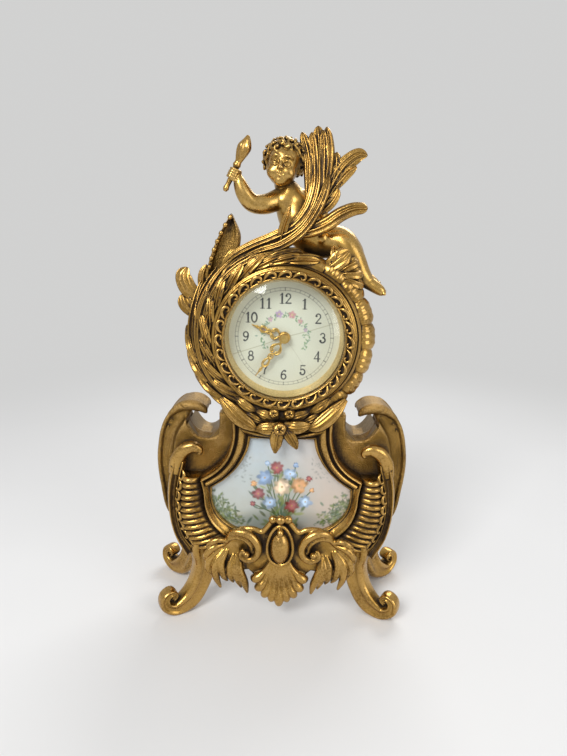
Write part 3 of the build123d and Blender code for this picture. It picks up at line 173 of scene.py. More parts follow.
def through(stations, count):
    """Points on a smooth curve through stations; further columns, such as widths, go along."""
    rows = np.array(stations, float)
    gaps = np.maximum(np.linalg.norm(np.diff(rows[:, :3], axis=0), axis=1), 1e-6)
    slopes = np.diff(rows, axis=0) / gaps[:, None]
    tangents = np.empty_like(rows)
    tangents[0], tangents[-1] = slopes[0], slopes[-1]
    weight = (gaps[:-1] / (gaps[:-1] + gaps[1:]))[:, None]
    tangents[1:-1] = slopes[:-1] * (1 - weight) + slopes[1:] * weight
    along = np.concatenate([[0.0], np.cumsum(gaps)])
    at = np.linspace(0.0, along[-1], count)
    i = np.clip(np.searchsorted(along, at, side="right") - 1, 0, len(gaps) - 1)
    h = gaps[i][:, None]
    t = ((at - along[i]) / gaps[i])[:, None]
    return ((2 * t ** 3 - 3 * t ** 2 + 1) * rows[i] + (t ** 3 - 2 * t ** 2 + t) * h * tangents[i]
            + (3 * t ** 2 - 2 * t ** 3) * rows[i + 1] + (t ** 3 - t ** 2) * h * tangents[i + 1])


def unit(vectors):
    """Vectors of length one."""
    return vectors / np.maximum(np.linalg.norm(vectors, axis=-1, keepdims=True), 1e-9)


def halves(a, b, c, d):
    """The two triangles of each four-cornered face."""
    return np.vstack([np.stack([a, b, c], -1).reshape(-1, 3), np.stack([a, c, d], -1).reshape(-1, 3)])


def outwards(vertices, faces, about=(0.0, 0.0, 0.0)):
    """A closed shape with its faces turned outwards."""
    p, q, r = (vertices[faces[:, corner]] - about for corner in range(3))
    if np.einsum("ij,ij->", p, np.cross(q, r)) < 0:
        faces = faces[:, ::-1]
    return vertices, faces


def skin(rings):
    """A closed mesh over rings of points, with a fan over each end: (vertices, faces)."""
    rings = np.asarray(rings, float)
    count, size = rings.shape[:2]
    vertices = np.vstack([rings.reshape(-1, 3), rings[0].mean(0), rings[-1].mean(0)])
    i, j = np.meshgrid(np.arange(count - 1), np.arange(size), indexing="ij")
    k = (j + 1) % size
    a, b, c, d = i * size + j, i * size + k, (i + 1) * size + k, (i + 1) * size + j
    j = np.arange(size)
    k = (j + 1) % size
    last = (count - 1) * size
    start = np.stack([np.full(size, count * size), k, j], -1)
    end = np.stack([np.full(size, count * size + 1), last + j, last + k], -1)
    return outwards(vertices, np.vstack([halves(a, b, c, d), start, end]))


def mirrored(shape):
    """The same shape on the other side of the clock."""
    vertices, faces = shape
    return vertices * np.array([-1.0, 1.0, 1.0]), faces[:, ::-1]


def piece(name, shapes, finish, nodes=(), body=CLOCK, slot="gilt"):
    """One object from (vertices in millimetres, triangles) shapes, set on its body."""
    start = np.cumsum([0] + [len(v) for v, _ in shapes])
    vertices = np.vstack([v for v, _ in shapes]) * MM
    faces = np.vstack([f + s for (_, f), s in zip(shapes, start)])
    mesh = bpy.data.meshes.new(name)
    mesh.vertices.add(len(vertices))
    mesh.vertices.foreach_set("co", vertices.astype(np.float32).ravel())
    mesh.loops.add(3 * len(faces))
    mesh.loops.foreach_set("vertex_index", faces.astype(np.int32).ravel())
    mesh.polygons.add(len(faces))
    mesh.polygons.foreach_set("loop_start", np.arange(0, 3 * len(faces), 3, dtype=np.int32))
    mesh.polygons.foreach_set("use_smooth", np.ones(len(faces), bool))
    mesh.update(calc_edges=True)
    mesh.validate()
    mesh.materials.append(finish)
    return settle(bpy.data.objects.new(name, mesh), nodes, body, slot)


def settle(made, nodes=(), body=CLOCK, slot="gilt"):
    """Link a made object into the scene, set it on its body, hide the CAD nodes that it replaces, and add
    it to the gilt pieces when its slot is gilt.
    """
    bpy.context.scene.collection.objects.link(made)
    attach(made, body)
    if nodes:
        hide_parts(*nodes)
    if slot == "gilt":
        gilt_pieces.append(made)
    return made


def sweep(stations, profile, facing=(0, -1, 0), count=80):
    """Rings of a profile along stations (x, y, z, half width, half thickness).
    The width lies across facing."""
    rows = through(stations, count)
    ahead = unit(np.gradient(rows[:, :3], axis=0))
    across = unit(np.cross(np.broadcast_to(np.array(facing, float), ahead.shape), ahead))
    out = unit(np.cross(ahead, across))
    profile = np.asarray(profile, float)
    return (rows[:, None, :3] + across[:, None] * profile[None, :, :1] * rows[:, None, 3:4]
            + out[:, None] * profile[None, :, 1:] * rows[:, None, 4:5])


def round_profile(size, power=1.0):
    """A circle of points; a power below one makes it squarer."""
    turn = np.linspace(0, 2 * math.pi, size, endpoint=False)
    c, s = np.cos(turn), np.sin(turn)
    return np.stack([np.sign(c) * np.abs(c) ** power, np.sign(s) * np.abs(s) ** power], -1)


def channelled_profile():
    """A block with rounded edges and a hollow along each flank."""
    profile = round_profile(36, 0.62)
    profile[:, 0] *= 1 - 0.30 * np.exp(-(profile[:, 1] / 0.42) ** 4)
    return profile


# distance out from the root, height, half thickness
LEG = [(0.0, 51.0, 8.0), (0.0, 45.0, 8.6), (-0.5, 32.0, 7.4), (3.0, 18.5, 7.0), (12.0, 7.2, 6.6),
       (21.5, 4.6, 4.5), (27.0, 8.8, 3.7), (26.6, 14.4, 3.1), (22.6, 16.4, 2.5), (20.4, 13.9, 2.0),
       (22.4, 11.9, 1.6)]
REAR_ROOT = [(-8.0, 64.0, 5.0), (-3.4, 58.0, 6.8)]
LEG_THICK, LEG_HALF_WIDTH = 8.0, 6.5


def leg(root_x, root_y, turn, root=()):
    """A leg that stands out from its root on the case in the direction turn, in degrees from +x."""
    out = np.array([math.cos(math.radians(turn)), math.sin(math.radians(turn))])
    sideways = (-out[1], out[0], 0.0)
    rows = []
    for far, z, thick in [*root, *LEG]:
        x, y = np.array([root_x, root_y]) + far * out
        rows.append((x, y, z, thick, LEG_HALF_WIDTH * (0.55 + 0.45 * thick / LEG_THICK)))
    rings = sweep(rows, channelled_profile()[:, ::-1], sideways, count=110)
    rings[..., 2] = np.maximum(rings[..., 2], 0.0)
    return skin(rings)


front_leg = leg(root_x=51.0, root_y=-15.5, turn=-30.0)
rear_leg = leg(root_x=62.0, root_y=12.0, turn=38.0, root=REAR_ROOT)
piece("front_legs", [front_leg, mirrored(front_leg)], GILT, ["left_front_leg", "right_front_leg"])
piece("rear_legs", [rear_leg, mirrored(rear_leg)], GILT, ["left_rear_leg", "right_rear_leg"])

# The hollow case and the drum behind the ornament: castings with matt sides, closed at the back by a sheet
# panel and a round cover with screws. Their plain surfaces stay as they left the mould. Their darker gold
# is painted shade, for lying behind the ornament.

# a darker copy of the gilt: painted shade for the set-back case and drum
SHADED_CASE_GILT = gilt_finish("matt_case_gilt", bright=(0.22, 0.138, 0.043), deep=(0.14, 0.083, 0.024),
                        rough=0.42, grain=(0.5, 300.0, 0.0005), shade_and_patina=(0.036, 0.019, 0.007))


def dress(material, *nodes):
    """Give CAD nodes that keep their shape their material."""
    for node in nodes:
        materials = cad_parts[node].data.materials
        materials.clear()
        materials.append(material)


dress(SHADED_CASE_GILT, "case_shell", "back_panel", "drum", "back_cover")

# Hooded wings at the sides: cast scrolls with a stippled field, set back from the front, with a raised
# bead round the edge and a thick rolled end that curls inwards at the top. A low shoulder runs from
# each wing over the front of the case to the frame.

STIPPLED_GILT = gilt_finish("stippled_gilt", bright=(0.31, 0.185, 0.050), deep=(0.17, 0.095, 0.022),
                            rough=0.36, grain=(1.0, 1300.0, 0.0007))


class Clay:
    """A block of modelling clay: distances to the surface on a grid, in millimetres."""

    FAR = 9.0

    def __init__(self, low, high, step):
        self.low = np.array(low, float)
        self.step = step
        self.axes = [np.arange(a, b, step) for a, b in zip(low, high)]
        self.depth = np.full([len(axis) for axis in self.axes], self.FAR, np.float32)

    def _window(self, low, high):
        cut = []
        for axis, a, b in zip(self.axes, low, high):
            cut.append(slice(int(np.searchsorted(axis, a)), int(np.searchsorted(axis, b))))
        axes = [axis[c] for axis, c in zip(self.axes, cut)]
        grids = np.meshgrid(*axes, indexing="ij", sparse=True)
        return tuple(cut), [g.astype(np.float32) for g in grids]

    def blend(self, cut, other, soft, add=True):
        """Join another shape on, or cut it out, with a seam rounded over by soft."""
        here = self.depth[cut] if add else -self.depth[cut]
        h = np.maximum(soft - np.abs(here - other), 0.0) / max(soft, 1e-6)
        merged = np.minimum(here, other) - h * h * soft * 0.25
        self.depth[cut] = merged if add else -merged

    def ball(self, centre, radii, soft=1.0, add=True):
        """A ball, or an ellipsoid with three radii."""
        radii = np.broadcast_to(np.array(radii, float), 3)
        reach = radii.max() + soft + 2.0
        centre = np.array(centre, float)
        cut, grids = self._window(centre - reach, centre + reach)
        p = [g - c for g, c in zip(grids, centre)]
        k0 = np.sqrt(sum((q / r) ** 2 for q, r in zip(p, radii)))
        k1 = np.sqrt(sum((q / r ** 2) ** 2 for q, r in zip(p, radii)))
        self.blend(cut, (k0 * (k0 - 1.0) / np.maximum(k1, 1e-5)).astype(np.float32), soft, add)

    def limb(self, stations, soft=1.0, add=True, count=0):
        """A round limb through stations (x, y, z, radius)."""
        rows = through(stations, count) if count else np.array(stations, float)
        for a, b in zip(rows[:-1], rows[1:]):
            reach = max(a[3], b[3]) + soft + 1.5
            low, high = np.minimum(a[:3], b[:3]), np.maximum(a[:3], b[:3])
            cut, grids = self._window(low - reach, high + reach)
            axis = b[:3] - a[:3]
            t = sum((g - q) * d for g, q, d in zip(grids, a[:3], axis))
            t = np.clip(t / max(float(axis @ axis), 1e-9), 0.0, 1.0)
            away = np.sqrt(sum((g - q - t * d) ** 2 for g, q, d in zip(grids, a[:3], axis)))
            self.blend(cut, (away - (a[3] + t * (b[3] - a[3]))).astype(np.float32), soft, add)

    def slab(self, outline, y_front, y_back, edge, soft=0.5):
        """A slab of an outline in X and Z, with its edge rounded over by edge."""
        outline = np.array(outline, float)
        x, z = self.axes[0][:, None], self.axes[2][None, :]
        away = np.full((len(self.axes[0]), len(self.axes[2])), 1e9)
        inside = np.zeros(away.shape, bool)
        for (ax, az), (bx, bz) in zip(outline, np.roll(outline, -1, 0)):
            dx, dz = bx - ax, bz - az
            t = np.clip(((x - ax) * dx + (z - az) * dz) / max(dx * dx + dz * dz, 1e-9), 0, 1)
            away = np.minimum(away, (x - ax - t * dx) ** 2 + (z - az - t * dz) ** 2)
            crosses = ((az > z) != (bz > z)) & (x < ax + (z - az) * dx / (dz if dz else 1e-9))
            inside ^= crosses
        flat = np.where(inside, -np.sqrt(away), np.sqrt(away)) + edge
        y = self.axes[1]
        side = np.maximum(y_front + edge - y, y - y_back + edge)
        flat, side = flat[:, None, :], side[None, :, None]
        within = np.minimum(np.maximum(flat, side), 0)
        beyond = np.hypot(np.maximum(flat, 0), np.maximum(side, 0))
        self.blend((slice(None),) * 3, (within + beyond - edge).astype(np.float32), soft)

    def shape(self):
        """The surface of the clay: (vertices, faces)."""
        grid = openvdb.FloatGrid(self.FAR)
        grid.copyFromArray(np.ascontiguousarray(self.depth))
        points, quads = grid.convertToQuads(isovalue=0.0)
        points = np.asarray(points, float) * self.step + self.low
        quads = np.asarray(quads, np.int64)
        return outwards(points, halves(*quads.T))


def outline_of(*runs):
    """A closed outline, one smooth curve for each run of (x, z) points."""
    curves = []
    for run in runs:
        rows = [(x, 0.0, z) for x, z in run]
        curve = through(rows, 8 * len(run)) if len(run) > 2 else np.array(rows)
        curves.append(curve[:-1, [0, 2]])
    return np.vstack(curves)


WING_OUTER = [(60.0, 53.0), (73.0, 61.0), (79.3, 84.0), (80.3, 108.0), (73.5, 131.0), (60.0, 141.2),
              (53.0, 139.8), (48.4, 134.8)]
UNDER_HOOD = [(48.4, 134.8), (53.0, 134.6), (58.4, 133.4), (61.0, 130.6)]
NOTCH = [(61.0, 130.6), (60.0, 126.6), (57.0, 122.0), (52.8, 119.0), (46.4, 118.0)]
WING_INNER = [(46.4, 118.0), (60.0, 100.0), (63.0, 66.0), (60.0, 53.0)]
wing_outline = outline_of(WING_OUTER, UNDER_HOOD, NOTCH, WING_INNER)
shoulder_outline = outline_of(
    [(62.5, 66.0), (69.0, 84.0), (70.0, 104.0), (66.4, 122.0), (61.0, 130.6)],
    NOTCH,
    [(46.4, 118.0), (42.0, 119.6), (40.4, 124.0), (39.8, 135.0)],
    [(39.8, 135.0), (28.6, 135.0)],
    [(28.6, 135.0), (29.2, 120.0), (32.6, 108.6), (39.6, 99.6), (48.6, 93.0)],
    [(48.6, 93.0), (47.6, 80.0), (62.5, 66.0)])
WING_FRONT, WING_BACK = -6.0, 13.0
wing_clay = Clay((26, -16, 48), (84, 19, 147), step=0.62)
wing_clay.slab(wing_outline, WING_FRONT, WING_BACK, edge=2.6)
wing_clay.slab(shoulder_outline, -13.0, -4.0, edge=1.6, soft=6.0)
wing_edge = through([(x, 0.0, z) for x, z in WING_OUTER], 60)[4:50]
for y in (WING_FRONT - 0.2, WING_BACK):
    wing_clay.limb([(x - 1.1, y, z - 0.3 * (z > 120), 1.25) for x, _, z in wing_edge], soft=0.8)
HOOD_ROLL = [(72.0, 131.6, 1.2), (66.2, 136.2, 2.3), (60.0, 138.0, 3.1), (54.4, 137.4, 3.0),
             (50.6, 135.4, 2.0), (49.0, 133.4, 1.0)]
for y, swell in ((WING_FRONT - 0.4, 1.0), (WING_BACK - 0.8, 0.85)):
    wing_clay.limb([(x, y, z, r * swell) for x, z, r in HOOD_ROLL], soft=1.0, count=24)
wing_clay.limb([(50.4, -5.4, 135.4, 2.0), (50.4, 11.4, 135.4, 1.8)], soft=1.2)
HOOD_CREASE = [(60.6, -9.6, 132.6, 0.5), (63.2, -10.0, 136.4, 0.8), (66.2, -8.4, 140.2, 0.6)]
wing_clay.limb(HOOD_CREASE, soft=0.6, add=False)
for x, z in ((70.6, 127.8), (73.0, 123.6)):
    wing_clay.ball((x, -7.2, z), 0.9, soft=0.4)
wing = wing_clay.shape()
piece("wings", [wing, mirrored(wing)], STIPPLED_GILT, ["left_wing", "right_wing"])

# The moulded frame round the plaque: cast in one with the front, stepped like a picture frame, with a
# broad round between two beads above and a rising cove below. Its top is cut out for the drum.

DIAL_Z = 184.0
FRONT_Y = -12.2           # the front of the case, on which the mouldings sit


def strip(inner, outer, profile, count=90):
    """Rings of a moulding that lies between two edges drawn in X and Z.
    The profile is (share across, y)."""
    a = through([(x, 0.0, z) for x, z in inner], count)
    b = through([(x, 0.0, z) for x, z in outer], count)
    share = np.array([p[0] for p in profile])[None, :, None]
    rings = a[:, None] * (1 - share) + b[:, None] * share
    rings[..., 1] = np.array([p[1] for p in profile])[None]
    return rings


def smooth_profile(corners, back, count):
    """A smooth front through corners (share across, y), closed by the points of the back."""
    rows = through([(10 * s, y, 0.0) for s, y in corners], count)
    return [(x / 10, y) for x, y, _ in rows] + list(back)


PLAQUE_TOP = 122.0
PLAQUE_UPPER = [(19.5, PLAQUE_TOP), (21.0, 115.0), (25.6, 105.5), (34.8, 95.0), (43.6, 88.7)]
PLAQUE_LOWER = [(43.6, 88.7), (43.4, 80.0), (40.4, 71.6), (34.0, 64.5), (18.0, 57.5), (0.0, 56.0)]
FRAME_UPPER = [(30.9, 136.0), (31.2, 121.0), (34.6, 110.2), (41.4, 101.8), (50.6, 95.5)]
FLUTE_INNER = [(50.6, 95.5), (48.8, 87.0), (48.0, 77.0), (44.6, 66.8), (37.3, 57.8), (30.0, 52.0)]
FRAME_BACK = [(1.0, FRONT_Y), (0.5, FRONT_Y), (0.5, -20.4)]
STEPS = [(0.0, -20.4), (0.02, -22.8), (0.10, -23.6), (0.17, -22.4), (0.22, -23.2), (0.36, -25.8),
         (0.47, -26.4), (0.58, -25.8), (0.67, -23.9), (0.71, -23.5), (0.76, -25.2), (0.84, -26.2),
         (0.93, -25.4), (1.0, -22.5)]
COVE = [(0.0, -20.4), (0.03, -22.6), (0.12, -23.4), (0.20, -22.5), (0.36, -23.0), (0.60, -24.6),
        (0.76, -26.0), (0.88, -26.4), (0.96, -25.4), (1.0, -22.5)]
step_profile = smooth_profile(STEPS, FRAME_BACK, count=60)
cove_profile = smooth_profile(COVE, FRAME_BACK, count=50)
upper_bar = skin(strip(PLAQUE_UPPER, FRAME_UPPER, step_profile))
lower_bar = skin(strip(PLAQUE_LOWER, FLUTE_INNER + [(0.0, 49.0)], cove_profile))
ARCH_RADIUS = 56.8
arch = [(ARCH_RADIUS * math.sin(a), DIAL_Z - ARCH_RADIUS * math.cos(a))
        for a in np.radians((32.5, 22.0, 11.0, 0.0))]
top_bar = skin(strip([(x, PLAQUE_TOP) for x in (19.5, 13.0, 6.5, 0.0)], arch, step_profile))
bars = [upper_bar, lower_bar, top_bar]
piece("plaque_frame", bars + [mirrored(bar) for bar in bars], GILT, ["front_frame"])

# Fluted bands and outer scrolls beside the frame: a row of rounded gadroons follows the plaque's side,
# inside a plain C-scroll that ends above in a rolled leaf tip. A row of small curled ruffles, cast on,
# borders the gadroons.

FLUTE_OUTER = [(62.5, 96.0), (64.9, 81.0), (65.0, 66.0), (61.7, 54.0), (54.0, 43.5)]
FLUTES = 13
FLUTE_FOOT, FLUTE_RISE = -15.0, 8.2
flute_count, flute_across = 300, 26
inner_edge = through([(x, 0.0, z) for x, z in FLUTE_INNER], flute_count)
outer_edge = through([(x, 0.0, z) for x, z in FLUTE_OUTER], flute_count)
along = np.linspace(0.0, 1.0, flute_count)[:, None]
swell = np.abs(np.sin(math.pi * (FLUTES * along))) ** 0.55
turn = np.linspace(0.0, math.pi, flute_across)[None]
share = 0.5 - 0.5 * np.cos(turn) * (1 + 0.10 * (swell - 0.5) * (np.cos(turn) < 0))
crown = FLUTE_RISE + (1.0 + 2.2 * (0.5 - 0.5 * np.cos(turn))) * swell
flutes = inner_edge[:, None] * (1 - share[..., None]) + outer_edge[:, None] * share[..., None]
flutes[..., 1] = FLUTE_FOOT - np.sin(turn) ** 0.65 * crown
back_row = np.stack([outer_edge * 0.98 + inner_edge * 0.02, inner_edge * 0.98 + outer_edge * 0.02], 1)
back_row[..., 1] = FRONT_Y
flutes = skin(np.concatenate([flutes, back_row], 1))

SCROLL_OUTER = [(68.0, 107.0), (71.7, 92.0), (72.3, 71.0), (69.0, 53.5), (62.0, 38.5)]
HOLLOW = [(0.0, -15.0), (0.06, -19.5), (0.20, -21.0), (0.34, -19.8), (0.50, -18.6), (0.64, -19.4),
          (0.80, -21.0), (0.94, -19.6), (1.0, -15.5)]
scroll_profile = smooth_profile(HOLLOW, [(1.0, FRONT_Y), (0.0, FRONT_Y)], count=40)
side_scroll = skin(strip([(60.5, 104.0)] + FLUTE_OUTER[1:], SCROLL_OUTER, scroll_profile))
HOOK = [(67.5, -17.0, 96.0, 4.2, 3.0), (65.5, -17.5, 106.0, 4.6, 3.6), (60.0, -18.5, 113.0, 4.2, 4.0),
        (54.8, -19.0, 114.4, 3.4, 3.4), (51.3, -19.0, 112.0, 2.2, 2.4), (51.8, -19.0, 109.6, 1.2, 1.4)]
hook = skin(sweep(HOOK, round_profile(24, 0.8)))
side_parts = [flutes, side_scroll, hook]
piece("side_scrolls", side_parts + [mirrored(part) for part in side_parts], GILT,
      ["left_scroll", "right_scroll"])


def scatter(name, unit_shape, build, inputs, finish):
    """Run a Geometry Nodes tree over one small shape and keep the plain mesh that it makes.
    The inputs are (label, kind of socket, value)."""
    seed = bpy.data.meshes.new(name + "_unit")
    seed.from_pydata((unit_shape[0] * MM).tolist(), [], unit_shape[1].tolist())
    seed.polygons.foreach_set("use_smooth", np.ones(len(seed.polygons), bool))
    host = bpy.data.objects.new(name + "_host", seed)
    bpy.context.scene.collection.objects.link(host)
    tree = bpy.data.node_groups.new(name + "_tree", "GeometryNodeTree")
    tree.interface.new_socket("Geometry", in_out="INPUT", socket_type="NodeSocketGeometry")
    values = {}
    for label, kind, value in inputs:
        socket = tree.interface.new_socket(label, in_out="INPUT", socket_type=kind)
        values[socket.identifier] = value
    tree.interface.new_socket("Geometry", in_out="OUTPUT", socket_type="NodeSocketGeometry")
    group_in, group_out = tree.nodes.new("NodeGroupInput"), tree.nodes.new("NodeGroupOutput")

    def add(kind, settings, sockets):
        node = tree.nodes.new(kind)
        for key, value in settings.items():
            setattr(node, key, value)
        for key, value in sockets.items():
            if isinstance(value, bpy.types.NodeSocket):
                tree.links.new(value, node.inputs[key])
            else:
                node.inputs[key].default_value = value
        return node

    made = build(add, group_in)
    realized = add("GeometryNodeRealizeInstances", {}, {"Geometry": made})
    coloured = add("GeometryNodeSetMaterial", {},
                   {"Geometry": realized.outputs[0], "Material": finish})
    tree.links.new(coloured.outputs[0], group_out.inputs[0])
    modifier = host.modifiers.new("repeat", "NODES")
    modifier.node_group = tree
    for identifier, value in values.items():
        modifier[identifier] = value
    evaluated = host.evaluated_get(bpy.context.evaluated_depsgraph_get())
    mesh = bpy.data.meshes.new_from_object(evaluated)
    mesh.name = name
    host.modifiers.remove(modifier)
    bpy.data.objects.remove(host)
    return settle(bpy.data.objects.new(name, mesh))


def along_arc(add, group_in):
    """The shape at equal steps on an arc through three points, its own X pointing along."""
    given = group_in.outputs
    arc = add("GeometryNodeCurveArc", {"mode": "POINTS"},
              {"Resolution": 48, "Start": given["Start"], "Middle": given["Middle"], "End": given["End"]})
    steps = add("GeometryNodeResampleCurve", {}, {"Curve": arc.outputs[0], "Count": given["Count"]})
    ahead = add("GeometryNodeInputTangent", {}, {})
    turned = add("FunctionNodeAlignRotationToVector", {"axis": "X"}, {"Vector": ahead.outputs[0]})
    instances = add("GeometryNodeInstanceOnPoints", {},
                    {"Points": steps.outputs[0], "Instance": given["Geometry"],
                     "Rotation": turned.outputs[0]})
    return instances.outputs[0]


def arc_inputs(start, middle, end, count):
    """What along_arc takes, from three points in millimetres and the number of shapes."""
    places = [tuple(MM * value for value in point) for point in (start, middle, end)]
    return [("Start", "NodeSocketVector", places[0]), ("Middle", "NodeSocketVector", places[1]),
            ("End", "NodeSocketVector", places[2]), ("Count", "NodeSocketInt", count)]


RUFFLE = [(-3.6, 0.6, 0.9, 0.4, 0.4), (-2.0, -0.4, -0.7, 1.0, 0.9), (0.4, -0.8, -1.3, 1.25, 1.1),
          (2.4, -0.6, -0.3, 1.0, 0.9), (2.4, -0.2, 1.0, 0.7, 0.7), (1.2, 0.0, 1.1, 0.4, 0.5)]
RUFFLES = 8
RUFFLED_EDGE = [(62.4, -21.4, 96.0), (65.4, -22.0, 73.0), (57.6, -21.0, 49.0)]
ruffle = skin(sweep(RUFFLE, round_profile(8), count=14))
scatter("ruffled_edge_right", ruffle, along_arc, arc_inputs(*RUFFLED_EDGE, RUFFLES), GILT)
left_edge = [(-x, y, z) for x, y, z in reversed(RUFFLED_EDGE)]
scatter("ruffled_edge_left", mirrored(ruffle), along_arc, arc_inputs(*left_edge, RUFFLES), GILT)

# Painted porcelain plaque in the frame, held from behind by clips. A spray of garden flowers stands
# before a pale sky, with leafy sprigs at both sides, painted in soft enamel colours under the glaze.

PLAQUE_Y, PLAQUE_THICK = -20.0, 3.0
PLAQUE_MIDDLE = np.array([0.0, 88.0])
plaque_edge = outline_of(PLAQUE_LOWER[::-1], PLAQUE_UPPER[::-1], [(19.5, PLAQUE_TOP), (0.0, PLAQUE_TOP)])
plaque_edge = np.vstack([plaque_edge, [[0.0, PLAQUE_TOP]], (plaque_edge * [-1, 1])[:0:-1]])


def spread(outline, count):
    """Points at equal steps round a closed outline."""
    closed = np.vstack([outline, outline[:1]])
    along = np.concatenate([[0.0], np.cumsum(np.hypot(*np.diff(closed, axis=0).T))])
    at = np.linspace(0.0, along[-1], count, endpoint=False)
    return np.stack([np.interp(at, along, closed[:, i]) for i in (0, 1)], -1)


class Painting:
    """Colours on the points of a painted surface, laid on in soft brush marks."""

    def __init__(self, x, z, ground):
        self.x, self.z, self.colours = x, z, ground

    def lay(self, colour, cover):
        self.colours += (np.array(colour) - self.colours) * cover[:, None]

    def dab(self, x, z, wide, tall, turn, colour, strength=1.0, edge=0.35):
        """One soft oval mark."""
        c, s = math.cos(math.radians(turn)), math.sin(math.radians(turn))
        dx, dz = self.x - x, self.z - z
        far = np.hypot((dx * c + dz * s) / wide, (dz * c - dx * s) / tall)
        self.lay(colour, np.clip((1 + edge - far) / (2 * edge), 0, 1) * strength)

    def line(self, path, half_width, colour, strength=1.0):
        """A brush line through points, with soft edges."""
        away = np.full(len(self.x), 1e9)
        for (ax, az), (bx, bz) in zip(path[:-1], path[1:]):
            dx, dz = bx - ax, bz - az
            t = ((self.x - ax) * dx + (self.z - az) * dz) / max(dx * dx + dz * dz, 1e-9)
            t = np.clip(t, 0, 1)
            away = np.minimum(away, np.hypot(self.x - ax - t * dx, self.z - az - t * dz))
        self.lay(colour, np.clip((half_width + 0.12 - away) / 0.24, 0, 1) * strength)

    def keep_on(self, made):
        """Store the colours on the points of the made piece."""
        layer = made.data.color_attributes.new("paint", "FLOAT_COLOR", "POINT")
        opaque = np.hstack([self.colours, np.ones((len(self.colours), 1))])
        layer.data.foreach_set("color", opaque.astype(np.float32).ravel())


RIM_POINTS = 300
rim = spread(plaque_edge, RIM_POINTS)
steps = 170
plaque_rings = []
for share in [*np.linspace(0.004, 1.0, steps), 1.02]:
    ring = PLAQUE_MIDDLE + (rim - PLAQUE_MIDDLE) * share
    plaque_rings.append(np.stack([ring[:, 0], np.full(RIM_POINTS, PLAQUE_Y), ring[:, 1]], -1))
back_ring = plaque_rings[-1].copy()
back_ring[:, 1] += PLAQUE_THICK
plaque_shape = skin(np.stack(plaque_rings + [back_ring]))

SKY, MEADOW = np.array([0.42, 0.49, 0.53]), np.array([0.42, 0.43, 0.35])
EVENING, CLOUD = np.array([0.52, 0.41, 0.33]), np.array([0.48, 0.50, 0.50])
GREENS = np.array([(0.055, 0.085, 0.025), (0.11, 0.15, 0.045), (0.19, 0.23, 0.09), (0.08, 0.13, 0.085)])
STALK, SPRIG, POLLEN = (0.08, 0.12, 0.045), (0.20, 0.22, 0.20), (0.42, 0.30, 0.09)
rng = np.random.default_rng(7)
px, pz = plaque_shape[0][:, 0], plaque_shape[0][:, 2]
low = np.clip((pz - 60) / 55, 0, 1)[:, None]
warm = 0.75 * np.clip((px + 12) / 40, 0, 1)[:, None]
ground = SKY * low + MEADOW * (1 - low)
flowers = Painting(px, pz, ground * (1 - warm) + EVENING * warm)
for _ in range(60):
    flowers.dab(rng.uniform(-42, 42), rng.uniform(60, 120), rng.uniform(5, 11), rng.uniform(2, 5),
                rng.uniform(-25, 25), rng.uniform(0.9, 1.08) * CLOUD, strength=0.16, edge=0.9)
flowers.dab(-8, 64, 26, 7, 4, (0.20, 0.26, 0.24), strength=0.6, edge=0.7)
flowers.dab(0, 82, 13, 17, 0, (0.26, 0.29, 0.25), strength=0.55, edge=0.8)
for side in (-1, 1):
    for _ in range(210):
        reach = rng.power(2.2)
        cx = side * (20 + 23 * reach) + rng.normal(0, 1.5)
        cz = 61 + 26 * reach * rng.uniform(0.2, 1.0) + rng.normal(0, 2)
        flowers.dab(cx, cz, rng.uniform(0.7, 1.7), rng.uniform(0.35, 0.8), rng.uniform(0, 180),
                    GREENS[rng.integers(4)] * rng.uniform(0.8, 1.4), rng.uniform(0.5, 0.95))
    for _ in range(46):
        flowers.dab(side * rng.uniform(19, 37), rng.uniform(92, 110), rng.uniform(0.5, 1.2),
                    rng.uniform(0.3, 0.7), rng.uniform(0, 180), SPRIG, rng.uniform(0.25, 0.7))
STEMS = [(-10.5, 95, 5.4), (-3.0, 102, 4.6), (5.5, 98, 4.4), (11.5, 90, 5.6), (-14.5, 84, 4.2),
         (15.5, 79, 4.6), (0.5, 89, 5.8), (-7.0, 78, 4.6), (7.0, 76, 4.6), (-17.5, 91, 2.2),
         (9.0, 104, 2.0), (17.5, 95, 2.2), (-9.0, 105, 2.0), (19.5, 87, 1.8), (-18.0, 77, 2.0)]
for cx, cz, _ in STEMS:
    stalk = [(1.0, 60.0), (0.5 + 0.3 * cx, 70.0 + 0.12 * (cz - 70)), (cx, cz)]
    flowers.line(stalk, 0.42, STALK, strength=0.9)
for _ in range(110):
    cx, cz = rng.normal(0, 8.5), rng.uniform(62, 100)
    flowers.dab(cx, cz, rng.uniform(1.5, 3.0), rng.uniform(0.6, 1.1), 90 - cx * 5 + rng.normal(0, 30),
                GREENS[rng.integers(4)] * rng.uniform(0.8, 1.6), strength=0.85)
BLOOMS = np.array([(0.15, 0.23, 0.36), (0.20, 0.03, 0.03), (0.24, 0.33, 0.45), (0.44, 0.22, 0.08),
                   (0.17, 0.03, 0.035), (0.26, 0.36, 0.50), (0.56, 0.42, 0.28), (0.24, 0.33, 0.45),
                   (0.20, 0.03, 0.03), (0.44, 0.22, 0.08)])
PETALS = [(0.66, 8), (0.40, 6), (0.16, 4)]      # share of the bloom's size, number in the ring
